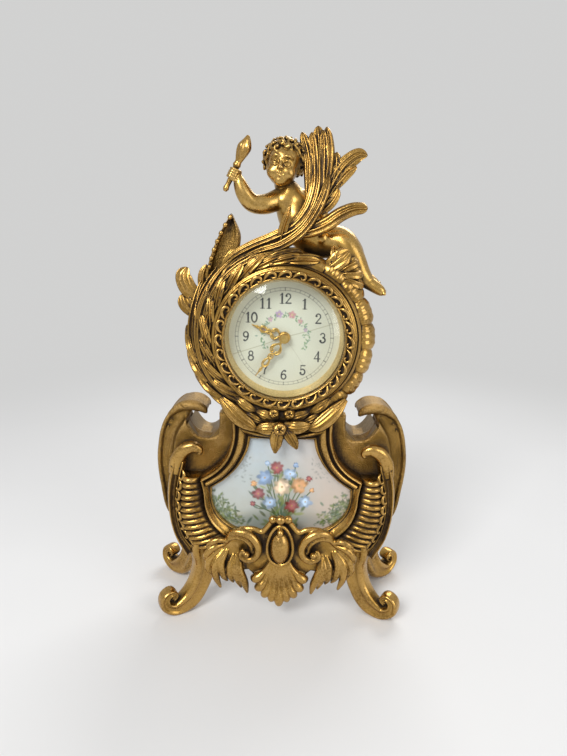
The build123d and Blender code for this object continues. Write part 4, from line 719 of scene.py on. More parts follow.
for number, (cx, cz, size) in enumerate(STEMS):
    colour = BLOOMS[number % len(BLOOMS)]
    for ring, (out, petals) in enumerate(PETALS):
        for i in range(petals):
            turn = 360 * i / petals + 20 * ring + cx * 9 + rng.normal(0, 10)
            far = size * out * rng.uniform(0.85, 1.12)
            x, z = cx + math.cos(math.radians(turn)) * far, cz + math.sin(math.radians(turn)) * far
            wide, tall = size * 0.34 * rng.uniform(0.85, 1.2), size * 0.25 * rng.uniform(0.85, 1.2)
            turn += rng.normal(0, 14)
            shade = colour * rng.uniform(0.6, 1.25) * (1 + 0.35 * ring) + 0.03 * ring
            flowers.dab(x, z, wide, tall, turn, np.clip(shade, 0, 1), strength=0.9, edge=0.4)
    flowers.dab(cx, cz, size * 0.13, size * 0.13, 0, POLLEN, strength=0.8)
PORCELAIN = Finish("painted_porcelain", Roughness=0.22, Coat_Roughness=0.06)
crackle = PORCELAIN.noise(scale=240.0, detail=3.0)
yellowed = (crackle - 0.5).ramp(-0.1, 0.4) * 0.25
PORCELAIN.feed(Base_Color=PORCELAIN.mix(yellowed, PORCELAIN.attribute("paint", 0), (0.40, 0.37, 0.30)),
               Coat_Weight=0.35 + crackle * 0.3)
flowers.keep_on(piece("painted_plaque", [plaque_shape], PORCELAIN.material, ["plaque"],
                      slot="plaque_porcelain"))

# Apron: one casting on the front of the case, under the plaque. A drop-shaped boss in a raised rim
# stands over a fan of ribs, between two C-scrolls with a bead in each eye, and leaf sprays hang down
# beside it.

apron = Clay((-50, -41, 6), (50, -24, 80), step=0.5)
fan_edge = [(0.0, 14.0), (10.0, 19.0), (14.0, 29.0), (20.0, 35.0), (33.0, 33.0), (41.0, 40.0), (40.0, 49.0),
            (33.0, 57.0), (22.0, 60.5), (12.0, 61.0), (6.0, 68.0), (0.0, 71.0)]
apron.slab(fan_edge + [(-x, z) for x, z in fan_edge[-2:0:-1]], -29.0, -25.9, edge=1.2)


def on_both_sides(stations, soft, count, add=True):
    """The same limb left and right."""
    apron.limb(stations, soft, add, count)
    apron.limb([(-x, y, z, r) for x, y, z, r in stations], soft, add, count)


RIBS = [(0.0, 10.4, 2.3), (5.4, 13.6, 2.2), (10.4, 17.0, 2.3), (14.6, 22.4, 2.5), (17.2, 29.6, 2.6)]
C_SCROLL = [(33.5, -28.5, 57.0, 1.4), (29.0, -30.0, 62.0, 2.2), (22.5, -31.0, 62.4, 2.6),
            (16.0, -31.6, 58.0, 2.6), (13.6, -31.6, 51.0, 2.5), (16.4, -31.8, 45.4, 2.2),
            (21.4, -32.0, 44.4, 1.9), (24.8, -32.2, 47.6, 1.6), (23.4, -32.4, 50.9, 1.3)]
INNER_BEAD = [(36.0, -28.0, 52.0, 1.2), (31.0, -29.8, 58.0, 1.5), (24.0, -30.6, 58.6, 1.6),
              (18.6, -31.0, 54.0, 1.5), (17.6, -31.0, 49.4, 1.2)]
TOP_BRANCH = [(4.6, -31.0, 72.0, 1.6), (7.6, -30.6, 67.4, 1.6), (11.5, -30.0, 63.0, 1.7),
              (17.0, -29.6, 64.6, 1.6), (23.5, -29.2, 64.4, 1.5), (30.0, -28.6, 62.4, 1.2)]
for x, z, r in RIBS:
    on_both_sides([(0.22 * x, -30.8, 46.0, 1.1), (0.6 * x, -31.6, 0.62 * z + 17.0, 1.9),
                   (0.9 * x, -31.4, 0.9 * z + 4.2, 1.12 * r), (x, -30.0, z + 0.9, 1.5)], soft=0.3, count=24)
on_both_sides(C_SCROLL, soft=0.5, count=60)
on_both_sides(INNER_BEAD, soft=0.3, count=40)
for side in (-1, 1):
    apron.ball((21.0 * side, -33.0, 48.6), 2.2, soft=0.4)
    apron.ball((4.6 * side, -31.5, 72.4), (2.9, 2.4, 2.7), soft=0.5)
on_both_sides(TOP_BRANCH, soft=0.4, count=40)
apron.ball((0.0, -33.0, 73.0), (3.3, 3.0, 3.0), soft=0.4)
BOSS_Z, BOSS_HALF_WIDTH, BOSS_HALF_HEIGHT = 55.0, 7.9, 13.6
boss_rim = [(BOSS_HALF_WIDTH * math.sin(t) * (1.0 + 0.16 * math.cos(t)), -33.0,
             BOSS_Z - BOSS_HALF_HEIGHT * math.cos(t), 1.05) for t in np.linspace(0, 2 * math.pi, 41)]
apron.limb(boss_rim, soft=0.3)
apron.ball((0.0, -31.0, BOSS_Z), (7.6, 2.2, 13.4), soft=0.5)
apron.ball((0.0, -32.4, 53.8), (6.2, 5.4, 11.0), soft=0.1)
apron.ball((0.0, -33.2, 64.2), (2.4, 3.2, 3.0), soft=0.3)
SPRAYS = [   # four points (x, z) from the root to the tip of a leaf, radius
    ((26.0, 46.0), (25.6, 37.0), (22.0, 26.5), (20.6, 19.4), 2.6),
    ((27.5, 45.0), (28.6, 37.0), (26.6, 29.0), (24.6, 23.0), 2.1),
    ((29.5, 46.0), (32.0, 38.0), (31.0, 31.0), (29.6, 26.6), 2.1),
    ((33.5, 49.0), (37.0, 41.0), (35.6, 32.0), (33.6, 27.6), 2.2),
    ((35.5, 49.0), (40.6, 41.0), (40.4, 31.0), (37.9, 22.8), 2.5),
    ((38.0, 50.0), (44.0, 44.0), (45.6, 37.6), (43.6, 31.4), 2.1),
    ((36.0, 53.0), (42.0, 51.6), (46.4, 46.8), (47.4, 41.2), 2.2),
    ((33.0, 55.0), (39.0, 57.0), (44.0, 54.6), (46.4, 50.4), 1.9),
]
for (ax, az), (bx, bz), (cx, cz), (dx, dz), r in SPRAYS:
    on_both_sides([(ax, -28.6, az, 0.6 * r), (bx, -30.6, bz, r), (cx, -31.0, cz, 0.9 * r),
                   (dx, -29.6, dz, 0.35 * r)], soft=0.35, count=26)
    on_both_sides([(bx, -30.9 - r, bz + 2, 0.3), (cx, -31.2 - 0.9 * r, cz, 0.35),
                   (dx, -29.8 - 0.4 * r, dz + 1, 0.2)], soft=0.25, count=14, add=False)
piece("apron", [apron.shape()], GILT, ["apron_shell", "left_apron_scroll", "right_apron_scroll"])

# Bezel on the front of the drum: a turned ring that holds the glass, with a border of small curled
# leaves that run round it, each cast in relief.


def hoop(profile, count=180):
    """A ring turned about the dial's axis from a closed (radius, y) profile."""
    turn = np.linspace(0, 2 * math.pi, count, endpoint=False)
    rows = np.array([[(r * math.sin(t), y, DIAL_Z + r * math.cos(t)) for r, y in profile]
                     for t in turn])
    size = len(profile)
    i, j = np.meshgrid(np.arange(count), np.arange(size), indexing="ij")
    k, m = (i + 1) % count, (j + 1) % size
    faces = halves(i * size + j, i * size + m, k * size + m, k * size + j)
    return outwards(rows.reshape(-1, 3), faces, (0.0, 0.0, DIAL_Z))


BEZEL = [(35.2, -25.2), (35.2, -28.0), (35.6, -28.7), (36.2, -28.7), (36.6, -27.6), (38.6, -27.3),
         (39.2, -28.4), (39.9, -28.6), (40.5, -27.8), (41.0, -26.4), (41.6, -26.6), (42.3, -26.3),
         (42.8, -25.2), (42.6, -23.0), (41.0, -20.0), (37.6, -20.0), (37.6, -25.2)]
piece("bezel_ring", [hoop(BEZEL)], GILT, ["bezel"])


def round_the_dial(add, group_in):
    """The shape at equal steps on a circle about the dial's axis, its own Z pointing outwards."""
    given = group_in.outputs
    circle = add("GeometryNodeMeshCircle", {}, {"Vertices": given["Count"], "Radius": given["Radius"]})
    place = add("GeometryNodeInputPosition", {}, {})
    parts = add("ShaderNodeSeparateXYZ", {}, {0: place.outputs[0]})
    turn = add("ShaderNodeMath", {"operation": "ARCTAN2"}, {0: parts.outputs[0], 1: parts.outputs[1]})
    turns = add("ShaderNodeCombineXYZ", {}, {1: turn.outputs[0]})
    upright = add("ShaderNodeCombineXYZ", {}, {0: parts.outputs[0], 2: parts.outputs[1]})
    centre = add("ShaderNodeVectorMath", {"operation": "ADD"}, {0: upright.outputs[0], 1: given["Centre"]})
    instances = add("GeometryNodeInstanceOnPoints", {},
                    {"Points": circle.outputs[0], "Instance": given["Geometry"],
                     "Rotation": turns.outputs[0]})
    moved = add("GeometryNodeSetPosition", {},
                {"Geometry": instances.outputs[0], "Position": centre.outputs[0]})
    return moved.outputs[0]


CURLS, CURL_RADIUS, CURL_Y = 28, 37.9, -28.0
CURL = [(-4.4, 0.2, -1.9, 0.5, 0.5), (-2.7, -0.8, 0.4, 0.95, 1.0), (0.0, -1.1, 1.9, 1.1, 1.1),
        (2.5, -1.0, 1.2, 0.95, 1.0), (2.9, -0.7, -0.8, 0.8, 0.9), (1.2, -0.6, -1.5, 0.65, 0.8),
        (0.3, -0.5, -0.5, 0.55, 0.6)]
scatter("bezel_border", skin(sweep(CURL, round_profile(8), count=16)), round_the_dial,
        [("Count", "NodeSocketInt", CURLS), ("Radius", "NodeSocketFloat", CURL_RADIUS * MM),
         ("Centre", "NodeSocketVector", (0.0, CURL_Y * MM, DIAL_Z * MM))], GILT)

# Dial: a cream porcelain disc, painted and fired, with black numerals, a railway minute ring and a
# garland of small flowers round the middle. Two hairline cracks cross its glaze.

FACE_Y, FACE_BACK = -14.0, -12.4
FACE_HOLE, FACE_EDGE = 2.9, 37.8
CREAM, INK = np.array([0.66, 0.665, 0.56]), (0.020, 0.022, 0.030)
MINUTE_OUTER, MINUTE_INNER = 29.6, 27.9
face_radii = [*np.linspace(FACE_HOLE, 33.9, 150), 36.0, FACE_EDGE]
dial_shape = hoop([(r, FACE_Y) for r in face_radii] + [(FACE_EDGE, FACE_BACK), (FACE_HOLE, FACE_BACK)],
                  count=560)
dx, dz = dial_shape[0][:, 0], dial_shape[0][:, 2] - DIAL_Z
enamel = Painting(dx, dz, np.tile(CREAM, (len(dx), 1)))
rng = np.random.default_rng(11)
for _ in range(40):
    enamel.dab(rng.uniform(-33, 33), rng.uniform(-33, 33), rng.uniform(5, 12), rng.uniform(4, 9),
               rng.uniform(0, 180), CREAM * rng.uniform(0.90, 1.08), strength=0.35, edge=0.9)
LONG_CRACK = [(-31.0, -11.0), (-12.0, -4.6), (0.0, 0.0), (16.0, 4.4), (32.5, 9.6)]
SHORT_CRACK = [(0.0, 0.0), (7.0, -9.6), (16.5, -24.0), (20.0, -29.0)]
enamel.line(LONG_CRACK, 0.24, (0.38, 0.36, 0.24), strength=0.7)
enamel.line(SHORT_CRACK, 0.14, (0.42, 0.40, 0.30), strength=0.6)
far = np.hypot(dx, dz)
for radius, half in ((MINUTE_OUTER, 0.14), (MINUTE_INNER, 0.12)):
    enamel.lay(INK, np.clip((half + 0.14 - np.abs(far - radius)) / 0.24, 0, 1) * 0.62)
for minute in range(60):
    a = math.radians(6 * minute)
    ends = [(r * math.sin(a), r * math.cos(a)) for r in (MINUTE_INNER, MINUTE_OUTER)]
    enamel.line(ends, 0.26 if minute % 5 == 0 else 0.10, INK, strength=0.75)


def bow(cx, cz, rx, rz, start, end, count=12):
    """Points on an arc, in degrees from +x."""
    turn = np.radians(np.linspace(start, end, count))
    return [(cx + rx * math.cos(a), cz + rz * math.sin(a)) for a in turn]


GLYPHS = {   # strokes in a box 0.62 wide and 1 high: (points, half width)
    "0": [(bow(0.31, 0.5, 0.25, 0.45, 90, 270), 0.075), (bow(0.31, 0.5, 0.25, 0.45, -90, 90), 0.075)],
    "1": [([(0.34, 0.05), (0.34, 0.95)], 0.085), ([(0.14, 0.80), (0.34, 0.95)], 0.035),
          ([(0.14, 0.03), (0.54, 0.03)], 0.03)],
    "2": [(bow(0.30, 0.70, 0.22, 0.25, 170, -35), 0.055),
          ([(0.48, 0.56), (0.30, 0.34), (0.08, 0.06)], 0.05),
          ([(0.08, 0.06), (0.56, 0.06)], 0.065), (bow(0.13, 0.74, 0.06, 0.06, 0, 330), 0.045)],
    "3": [(bow(0.28, 0.74, 0.20, 0.21, 160, -80), 0.055), (bow(0.28, 0.28, 0.25, 0.25, 80, -165), 0.075),
          (bow(0.10, 0.22, 0.05, 0.05, 0, 330), 0.045)],
    "4": [([(0.42, 0.03), (0.42, 0.97)], 0.075), ([(0.42, 0.97), (0.04, 0.30)], 0.035),
          ([(0.03, 0.29), (0.60, 0.29)], 0.045)],
    "5": [([(0.14, 0.95), (0.52, 0.95)], 0.06), ([(0.14, 0.95), (0.12, 0.54)], 0.035),
          (bow(0.29, 0.31, 0.24, 0.28, 130, -160), 0.07), (bow(0.11, 0.22, 0.05, 0.05, 0, 330), 0.045)],
    "6": [(bow(0.31, 0.30, 0.23, 0.26, 0, 360), 0.065), (bow(0.48, 0.42, 0.40, 0.52, 100, 190), 0.06),
          (bow(0.47, 0.86, 0.05, 0.05, 0, 330), 0.045)],
    "7": [([(0.06, 0.93), (0.56, 0.93)], 0.065), ([(0.56, 0.93), (0.32, 0.45), (0.26, 0.04)], 0.06),
          ([(0.06, 0.93), (0.06, 0.76)], 0.035)],
    "8": [(bow(0.31, 0.73, 0.19, 0.21, 0, 360), 0.055), (bow(0.31, 0.27, 0.24, 0.25, 0, 360), 0.07)],
    "9": [(bow(0.31, 0.70, 0.23, 0.26, 0, 360), 0.065), (bow(0.14, 0.58, 0.40, 0.52, -80, 10), 0.06),
          (bow(0.15, 0.14, 0.05, 0.05, 0, 330), 0.045)],
}
TALL, BOLD = 6.2, 1.08           # height of the numerals, weight of their strokes
DIGIT_WIDE = 0.62
NUMERAL_RADIUS, GARLAND_RADIUS = 23.2, 13.6
for hour in range(1, 13):
    a = math.radians(30 * hour)
    text = str(hour)
    cx, cz = NUMERAL_RADIUS * math.sin(a), NUMERAL_RADIUS * math.cos(a)
    left, foot = cx - 0.5 * DIGIT_WIDE * TALL * len(text), cz - 0.5 * TALL
    near = np.hypot(dx - cx, dz - cz) < 8.0
    numeral = Painting(dx[near], dz[near], enamel.colours[near])
    for i, digit in enumerate(text):
        for path, half in GLYPHS[digit]:
            path = [(left + (DIGIT_WIDE * i + u) * TALL, foot + v * TALL) for u, v in path]
            numeral.line(path, BOLD * half * TALL, INK, strength=0.96)
    enamel.colours[near] = numeral.colours
LEAF_GREENS = [(0.14, 0.27, 0.14), (0.26, 0.38, 0.22), (0.18, 0.30, 0.24)]
for i, turn in enumerate(np.linspace(-122, 122, 104)):
    a = math.radians(turn + rng.normal(0, 1.5))
    r = GARLAND_RADIUS + rng.normal(0, 0.9)
    enamel.dab(r * math.sin(a), r * math.cos(a), rng.uniform(0.6, 1.1), rng.uniform(0.3, 0.5),
               rng.uniform(0, 180), LEAF_GREENS[i % 3], strength=0.8)
BLOSSOMS = [   # place, size, colour
    (-3.4, 13.8, 2.1, (0.40, 0.27, 0.45)), (4.4, 13.6, 2.1, (0.55, 0.25, 0.28)),
    (-8.6, 10.6, 1.4, (0.50, 0.32, 0.42)), (9.4, 9.8, 1.4, (0.55, 0.30, 0.33)),
    (12.6, 4.6, 1.1, (0.44, 0.32, 0.47)), (-12.6, 4.2, 1.1, (0.54, 0.32, 0.35)),
]
for cx, cz, size, colour in BLOSSOMS:
    for turn in range(10, 370, 72):
        x = cx + 0.6 * size * math.cos(math.radians(turn))
        z = cz + 0.6 * size * math.sin(math.radians(turn))
        shade = np.array(colour) * rng.uniform(0.9, 1.25)
        enamel.dab(x, z, 0.55 * size, 0.42 * size, turn, shade, strength=0.85)
    enamel.dab(cx, cz, 0.3 * size, 0.3 * size, 0, (0.60, 0.50, 0.25), strength=0.8)
ENAMEL = Finish("dial_enamel", Roughness=0.24, Coat_Weight=0.35, Coat_Roughness=0.08)
aged = (ENAMEL.noise(scale=70.0, detail=4.0) - 0.5).ramp(0.0, 0.35) * 0.30
ENAMEL.feed(Base_Color=ENAMEL.mix(aged, ENAMEL.attribute("paint", 0), (0.58, 0.55, 0.40)))
enamel.keep_on(piece("enamel_dial", [dial_shape], ENAMEL.material, ["dial"], slot="dial_porcelain"))

# Sight ring, hands, arbors and movement keep their turned, pierced and cut shapes: a gilt ring that keeps
# the dial off the glass, gilt hands, lacquered brass plates and wheels, plain steel arbors and screws.


def metal_finish(name, bright, deep, streaks, rough):
    """Plain metal of two close tones. Its streaks are (scale, detail, where they begin), and its
    roughness is (least, how much the streaks add)."""
    finish = Finish(name, Metallic=1.0)
    scale, detail, begin = streaks
    streak = finish.noise(scale, detail)
    finish.feed(Base_Color=finish.mix(streak.ramp(begin, 0.7), bright, deep),
                Roughness=rough[0] + streak * rough[1])
    return finish.material


BRASS = metal_finish("lacquered_brass", bright=(0.72, 0.55, 0.24), deep=(0.55, 0.39, 0.14),
                     streaks=(60.0, 5.0, 0.35), rough=(0.22, 0.18))
STEEL = metal_finish("plain_steel", bright=(0.46, 0.46, 0.47), deep=(0.32, 0.32, 0.33),
                     streaks=(90.0, 4.0, 0.3), rough=(0.24, 0.2))
HAND_GILT = metal_finish("hand_gilt", bright=(0.74, 0.50, 0.15), deep=(0.50, 0.30, 0.07),
                         streaks=(700.0, 3.0, 0.35), rough=(0.24, 0.16))
SIGHT_GILT = gilt_finish("sight_ring_gilt", bright=(0.72, 0.55, 0.27), deep=(0.58, 0.42, 0.19),
                         rough=0.30, grain=(0.2, 500.0, 0.0002), shade_and_patina=(0.08, 0.045, 0.015))
dress(SIGHT_GILT, "sight_ring")
dress(BRASS, "front_plate", "back_plate", "pillars", "great_wheel", "centre_wheel", "third_wheel",
      "fourth_wheel", "escape_wheel", "balance_wheel", "balance_cock", "minute_wheel", "hour_wheel",
      "set_knob", "plaque_clips")
dress(STEEL, "back_panel_screws", "back_cover_screws", "movement_screws", "drum_bolts", "pillar_nuts",
      "mainspring", "hairspring", "winding_arbor", "click", "pallet_lever", "regulator", "winding_key")
dress(HAND_GILT, "hour_hand", "minute_hand", "hand_nut", "centre_arbor")

# Chased scrolls on the hands: each hand is sawn out of sheet and filed round, so that its openings have
# scrolled borders. They lie on the hand and turn with it.

SCROLLS = [   # share of the length, share of the swell, radius: one side of a hand from hub to point
    [(0.16, 0.10, 0.30), (0.20, 0.62, 0.42), (0.27, 0.98, 0.50), (0.35, 0.86, 0.50), (0.39, 0.46, 0.44),
     (0.36, 0.22, 0.36), (0.32, 0.34, 0.30)],
    [(0.40, 0.10, 0.34), (0.45, 0.40, 0.42), (0.52, 0.30, 0.34), (0.50, 0.12, 0.28)],
    [(0.52, 0.08, 0.30), (0.58, 0.44, 0.42), (0.65, 0.56, 0.46), (0.72, 0.36, 0.42), (0.74, 0.14, 0.34),
     (0.70, 0.12, 0.28)],
    [(0.74, 0.02, 0.34), (0.82, 0.16, 0.40), (0.90, 0.04, 0.30), (0.98, 0.00, 0.22)],
]
HAND_SWELL, HUB_RADIUS = 3.2, 2.9
HAND_HALF_DEPTH, HAND_MARGIN = 1.2, 5.0


def scrolled_hand(name, angle, length, y, body):
    """Scrolls along both sides of a hand at an angle clockwise from twelve, and a bead round its hub."""
    a = math.radians(angle)
    ahead, side = np.array([math.sin(a), math.cos(a)]), np.array([math.cos(a), -math.sin(a)])
    low = np.minimum(0.0, ahead * length) - HAND_MARGIN
    high = np.maximum(0.0, ahead * length) + HAND_MARGIN
    gilt = Clay((low[0], y - HAND_HALF_DEPTH, DIAL_Z + low[1]),
                (high[0], y + HAND_HALF_DEPTH, DIAL_Z + high[1]), step=0.17)
    for way in (-1, 1):
        for scroll in SCROLLS:
            rows = []
            for share, swell, r in scroll:
                x, z = ahead * share * length + side * way * swell * HAND_SWELL
                rows.append((x, y, DIAL_Z + z, r))
            gilt.limb(rows, soft=0.2, count=18)
    gilt.limb([(HUB_RADIUS * math.sin(t), y, DIAL_Z + HUB_RADIUS * math.cos(t), 0.42)
               for t in np.linspace(0, 2 * math.pi, 33)], soft=0.2)
    return piece(name, [gilt.shape()], HAND_GILT, body=body, slot="hand_gilt")


scrolled_hand("hour_hand_scrolls", angle=291.0, length=21.0, y=-15.75, body="hour_hand_body")
scrolled_hand("minute_hand_scrolls", angle=216.0, length=29.0, y=-17.95, body="minute_hand_body")

# Domed glass, pressed into the bezel: clear, thin and slightly tinted, so that it shows mostly by its
# reflections, which grow towards its rim.

GLASS = Finish("domed_glass")
slant = GLASS.node("ShaderNodeLayerWeight", {}, {"Blend": 0.5}, out=1)
edge_on = slant * slant * slant * 0.5 + 0.025
clear = GLASS.node("ShaderNodeBsdfTransparent", {}, {"Color": (0.97, 0.98, 0.97, 1.0)})
gloss = GLASS.node("ShaderNodeBsdfGlossy", {}, {"Roughness": 0.04})
GLASS.surface(GLASS.node("ShaderNodeMixShader", {}, {0: edge_on, 1: clear, 2: gloss}))
dress(GLASS.material, "glass")

# Cast foliage round the drum. On the left long acanthus leaves climb from the waist, wind round the
# bezel and run over the top; they lie on one another, with ridges along them and dark hollows between.


def leaf(stations, facing=(0, -1, 0), grooves=0, relief=0.5, cup=0.0, blunt=0.0, count=64, dense=False):
    """A cast leaf along stations (x, y, z, half width, half thickness), with a midrib and grooves.
    Its last share, blunt, is rounded off like a fingertip; cup lifts its edges."""
    rows = np.asarray(stations, float) if dense else through(stations, count)
    count = len(rows)
    ahead = unit(np.gradient(rows[:, :3], axis=0))
    across = unit(np.cross(np.broadcast_to(np.array(facing, float), ahead.shape), ahead))
    out = unit(np.cross(ahead, across))
    u = np.linspace(0, 1, count)[:, None]
    v = np.linspace(-1, 1, 17)[None]
    wide, thick = rows[:, 3:4], rows[:, 4:5]
    if blunt:
        rounded = np.sqrt(1 - np.clip((u - 1 + blunt) / blunt, 0, 0.99) ** 2)
        wide, thick = wide * rounded, thick * (0.3 + 0.7 * rounded)
    rise = 1 - 0.72 * v ** 2 + 0.55 * relief * np.exp(-(v / 0.13) ** 2)
    if grooves:
        groove = 0.5 + 0.5 * np.cos(2 * math.pi * grooves * v * 0.5 + math.pi)
        rise = rise - relief * groove * (1 - 0.5 * np.abs(v))
    front = thick * rise + cup * wide * v ** 2
    back = -0.55 * thick * (1 - v ** 2) + cup * wide * v ** 2
    heights = np.concatenate([front, back[:, -2:0:-1]], 1)
    places = np.concatenate([v, v[:, -2:0:-1]], 1) * wide
    return skin(rows[:, None, :3] + across[:, None] * places[..., None]
                + out[:, None] * heights[..., None])


MM_PER_DEGREE = 0.85      # along the rim of the drum
BED_Y, BED_HALF_DEPTH, BED_INNER = -15.0, 8.4, 41.2


def round_drum(stations, tilt=0.0, count=84, **kind):
    """A leaf along stations (degrees clockwise from twelve, radius, y, half width, half thickness)."""
    rows = through([(MM_PER_DEGREE * a, r, y, w, t) for a, r, y, w, t in stations], count)
    a = np.radians(rows[:, 0] / MM_PER_DEGREE)
    radial = np.stack([np.sin(a), np.zeros(count), np.cos(a)], -1)
    points = radial * rows[:, 1:2]
    points[:, 1] = rows[:, 2]
    points[:, 2] += DIAL_Z
    lean = math.radians(tilt)
    facing = radial * math.sin(lean) + np.array([0.0, -math.cos(lean), 0.0])
    return leaf(np.hstack([points, rows[:, 3:5]]), facing, dense=True, **kind)


def band(centre, half_width, start, end, count=120, lobes=None):
    """The rounded bed under the leaves, from one angle clockwise from twelve to another."""
    theta = np.linspace(-math.pi, math.pi, 36, endpoint=False)
    rings = []
    for i, a in enumerate(np.radians(np.linspace(start, end, count))):
        swell = 1.0 if lobes is None else lobes(i / (count - 1), theta)
        r = centre + half_width * np.cos(theta) * swell
        y = BED_Y + BED_HALF_DEPTH * np.sin(theta) * swell
        r = np.maximum(r, BED_INNER)
        rings.append(np.stack([r * math.sin(a), y, DIAL_Z + r * math.cos(a)], -1))
    return skin(np.stack(rings))


left_leaves = [band(45.8, 6.3, 211, 320), band(45.5, 6.0, 316, 388)]
STRANDS = [   # tilt, grooves, stations
    (0, 2, [(213, 43.6, -22.4, 1.2, 1.2), (235, 43.8, -23.2, 2.2, 1.6), (265, 43.8, -23.8, 2.6, 1.8),
            (295, 43.8, -23.8, 2.6, 1.8), (325, 43.6, -23.6, 2.4, 1.7), (355, 43.4, -23.0, 2.2, 1.6),
            (383, 43.2, -22.4, 0.9, 0.9)]),
    (10, 3, [(214, 46.0, -22.5, 2.0, 1.6), (235, 48.0, -23.4, 3.2, 2.1), (258, 49.4, -23.4, 3.5, 2.3),
             (282, 50.6, -22.6, 3.5, 2.3), (306, 52.2, -20.6, 3.0, 2.1), (330, 55.0, -17.0, 0.9, 0.8)]),
    (35, 3, [(218, 50.4, -19.4, 1.8, 1.6), (240, 53.2, -19.6, 3.0, 2.4), (266, 55.0, -17.8, 3.0, 2.6),
             (290, 56.6, -15.0, 2.4, 2.2), (306, 59.4, -12.4, 0.9, 0.8)]),
    (8, 3, [(268, 46.4, -23.2, 1.6, 1.4), (290, 47.4, -23.8, 2.8, 2.0), (316, 48.4, -23.4, 3.2, 2.1),
            (342, 48.8, -22.4, 3.0, 2.0), (364, 48.0, -21.2, 2.4, 1.6), (382, 46.4, -20.0, 0.9, 0.8)]),
    (0, 1, [(228, 46.2, -24.2, 0.7, 0.8), (250, 46.5, -25.0, 1.4, 1.2), (275, 46.3, -25.2, 1.6, 1.2),
            (300, 45.9, -25.0, 1.4, 1.1), (318, 45.6, -24.2, 0.5, 0.5)]),
    (25, 1, [(236, 51.2, -22.6, 0.7, 0.8), (256, 52.6, -22.4, 1.5, 1.3), (280, 54.0, -20.6, 1.7, 1.3),
             (300, 55.6, -18.0, 1.3, 1.1), (316, 57.0, -15.4, 0.5, 0.5)]),
    (40, 2, [(300, 49.8, -22.2, 1.0, 1.0), (322, 51.2, -20.4, 2.2, 1.5), (344, 51.4, -18.6, 2.4, 1.6),
             (366, 50.4, -17.4, 2.2, 1.4), (386, 48.6, -16.4, 0.6, 0.6)]),
]
for tilt, grooves, stations in STRANDS:
    left_leaves.append(round_drum(stations, tilt, grooves=grooves, relief=0.6))
TIPS = [   # leaf ends off the strands: angle, radius at the root and the tip, half width, y at the tip
    (222, 50.5, 57.0, 2.8, -15.5),
    (235, 51.5, 58.4, 3.2, -15.0),
    (249, 52.5, 58.8, 3.2, -14.0),
    (263, 53.5, 58.8, 2.8, -12.5),
    (284, 50.0, 55.6, 2.4, -18.0),
    (300, 49.0, 54.6, 2.6, -18.0),
    (318, 48.6, 53.6, 2.6, -18.0),
    (338, 48.4, 52.8, 2.4, -17.5),
    (356, 47.4, 52.0, 2.4, -17.0),
    (372, 46.6, 51.0, 2.2, -16.5),
]
BLUNT = {"grooves": 2, "blunt": 0.16, "count": 44}
for a, root, tip, w, y in TIPS:
    stations = [(a - 9, root, -22.6, 1.2, 1.2), (a, 0.55 * root + 0.45 * tip, -22.0, w, 1.7),
                (a + 8, 0.2 * root + 0.8 * tip, 0.5 * y - 10.0, 0.9 * w, 1.5),
                (a + 13, tip, y, 0.6 * w, 0.9)]
    left_leaves.append(round_drum(stations, tilt=40, relief=0.7, **BLUNT))
for a, r in ((346, 44.6), (358, 45.2), (370, 45.6)):      # short leaves over the top
    stations = [(a - 12, r - 0.6, -23.6, 1.0, 1.0), (a - 2, r + 0.6, -24.6, 2.4, 1.4),
                (a + 8, r + 2.6, -23.6, 2.2, 1.3), (a + 13, r + 3.8, -22.2, 1.3, 0.9)]
    left_leaves.append(round_drum(stations, tilt=10, relief=0.7, **BLUNT))
for i, a in enumerate(range(216, 330, 15)):               # leaves that overlap like tiles by the bezel
    r = 42.4 + 0.5 * (i % 2)
    stations = [(a, r, -23.4, 0.9, 0.9), (a + 8, r + 1.6, -25.2, 2.3, 1.5),
                (a + 17, r + 4.2, -25.6, 2.5, 1.5), (a + 25, r + 7.2, -24.2, 1.5, 0.9)]
    left_leaves.append(round_drum(stations, tilt=12, relief=0.6, **BLUNT))
piece("left_foliage", left_leaves, GILT, ["left_acanthus"])

# The leaf wing at the upper left stands up behind the drum: a hollow cast leaf with a beaded outer edge.
# Rounded lobes curl out beside its foot, two to the left and three up its face.

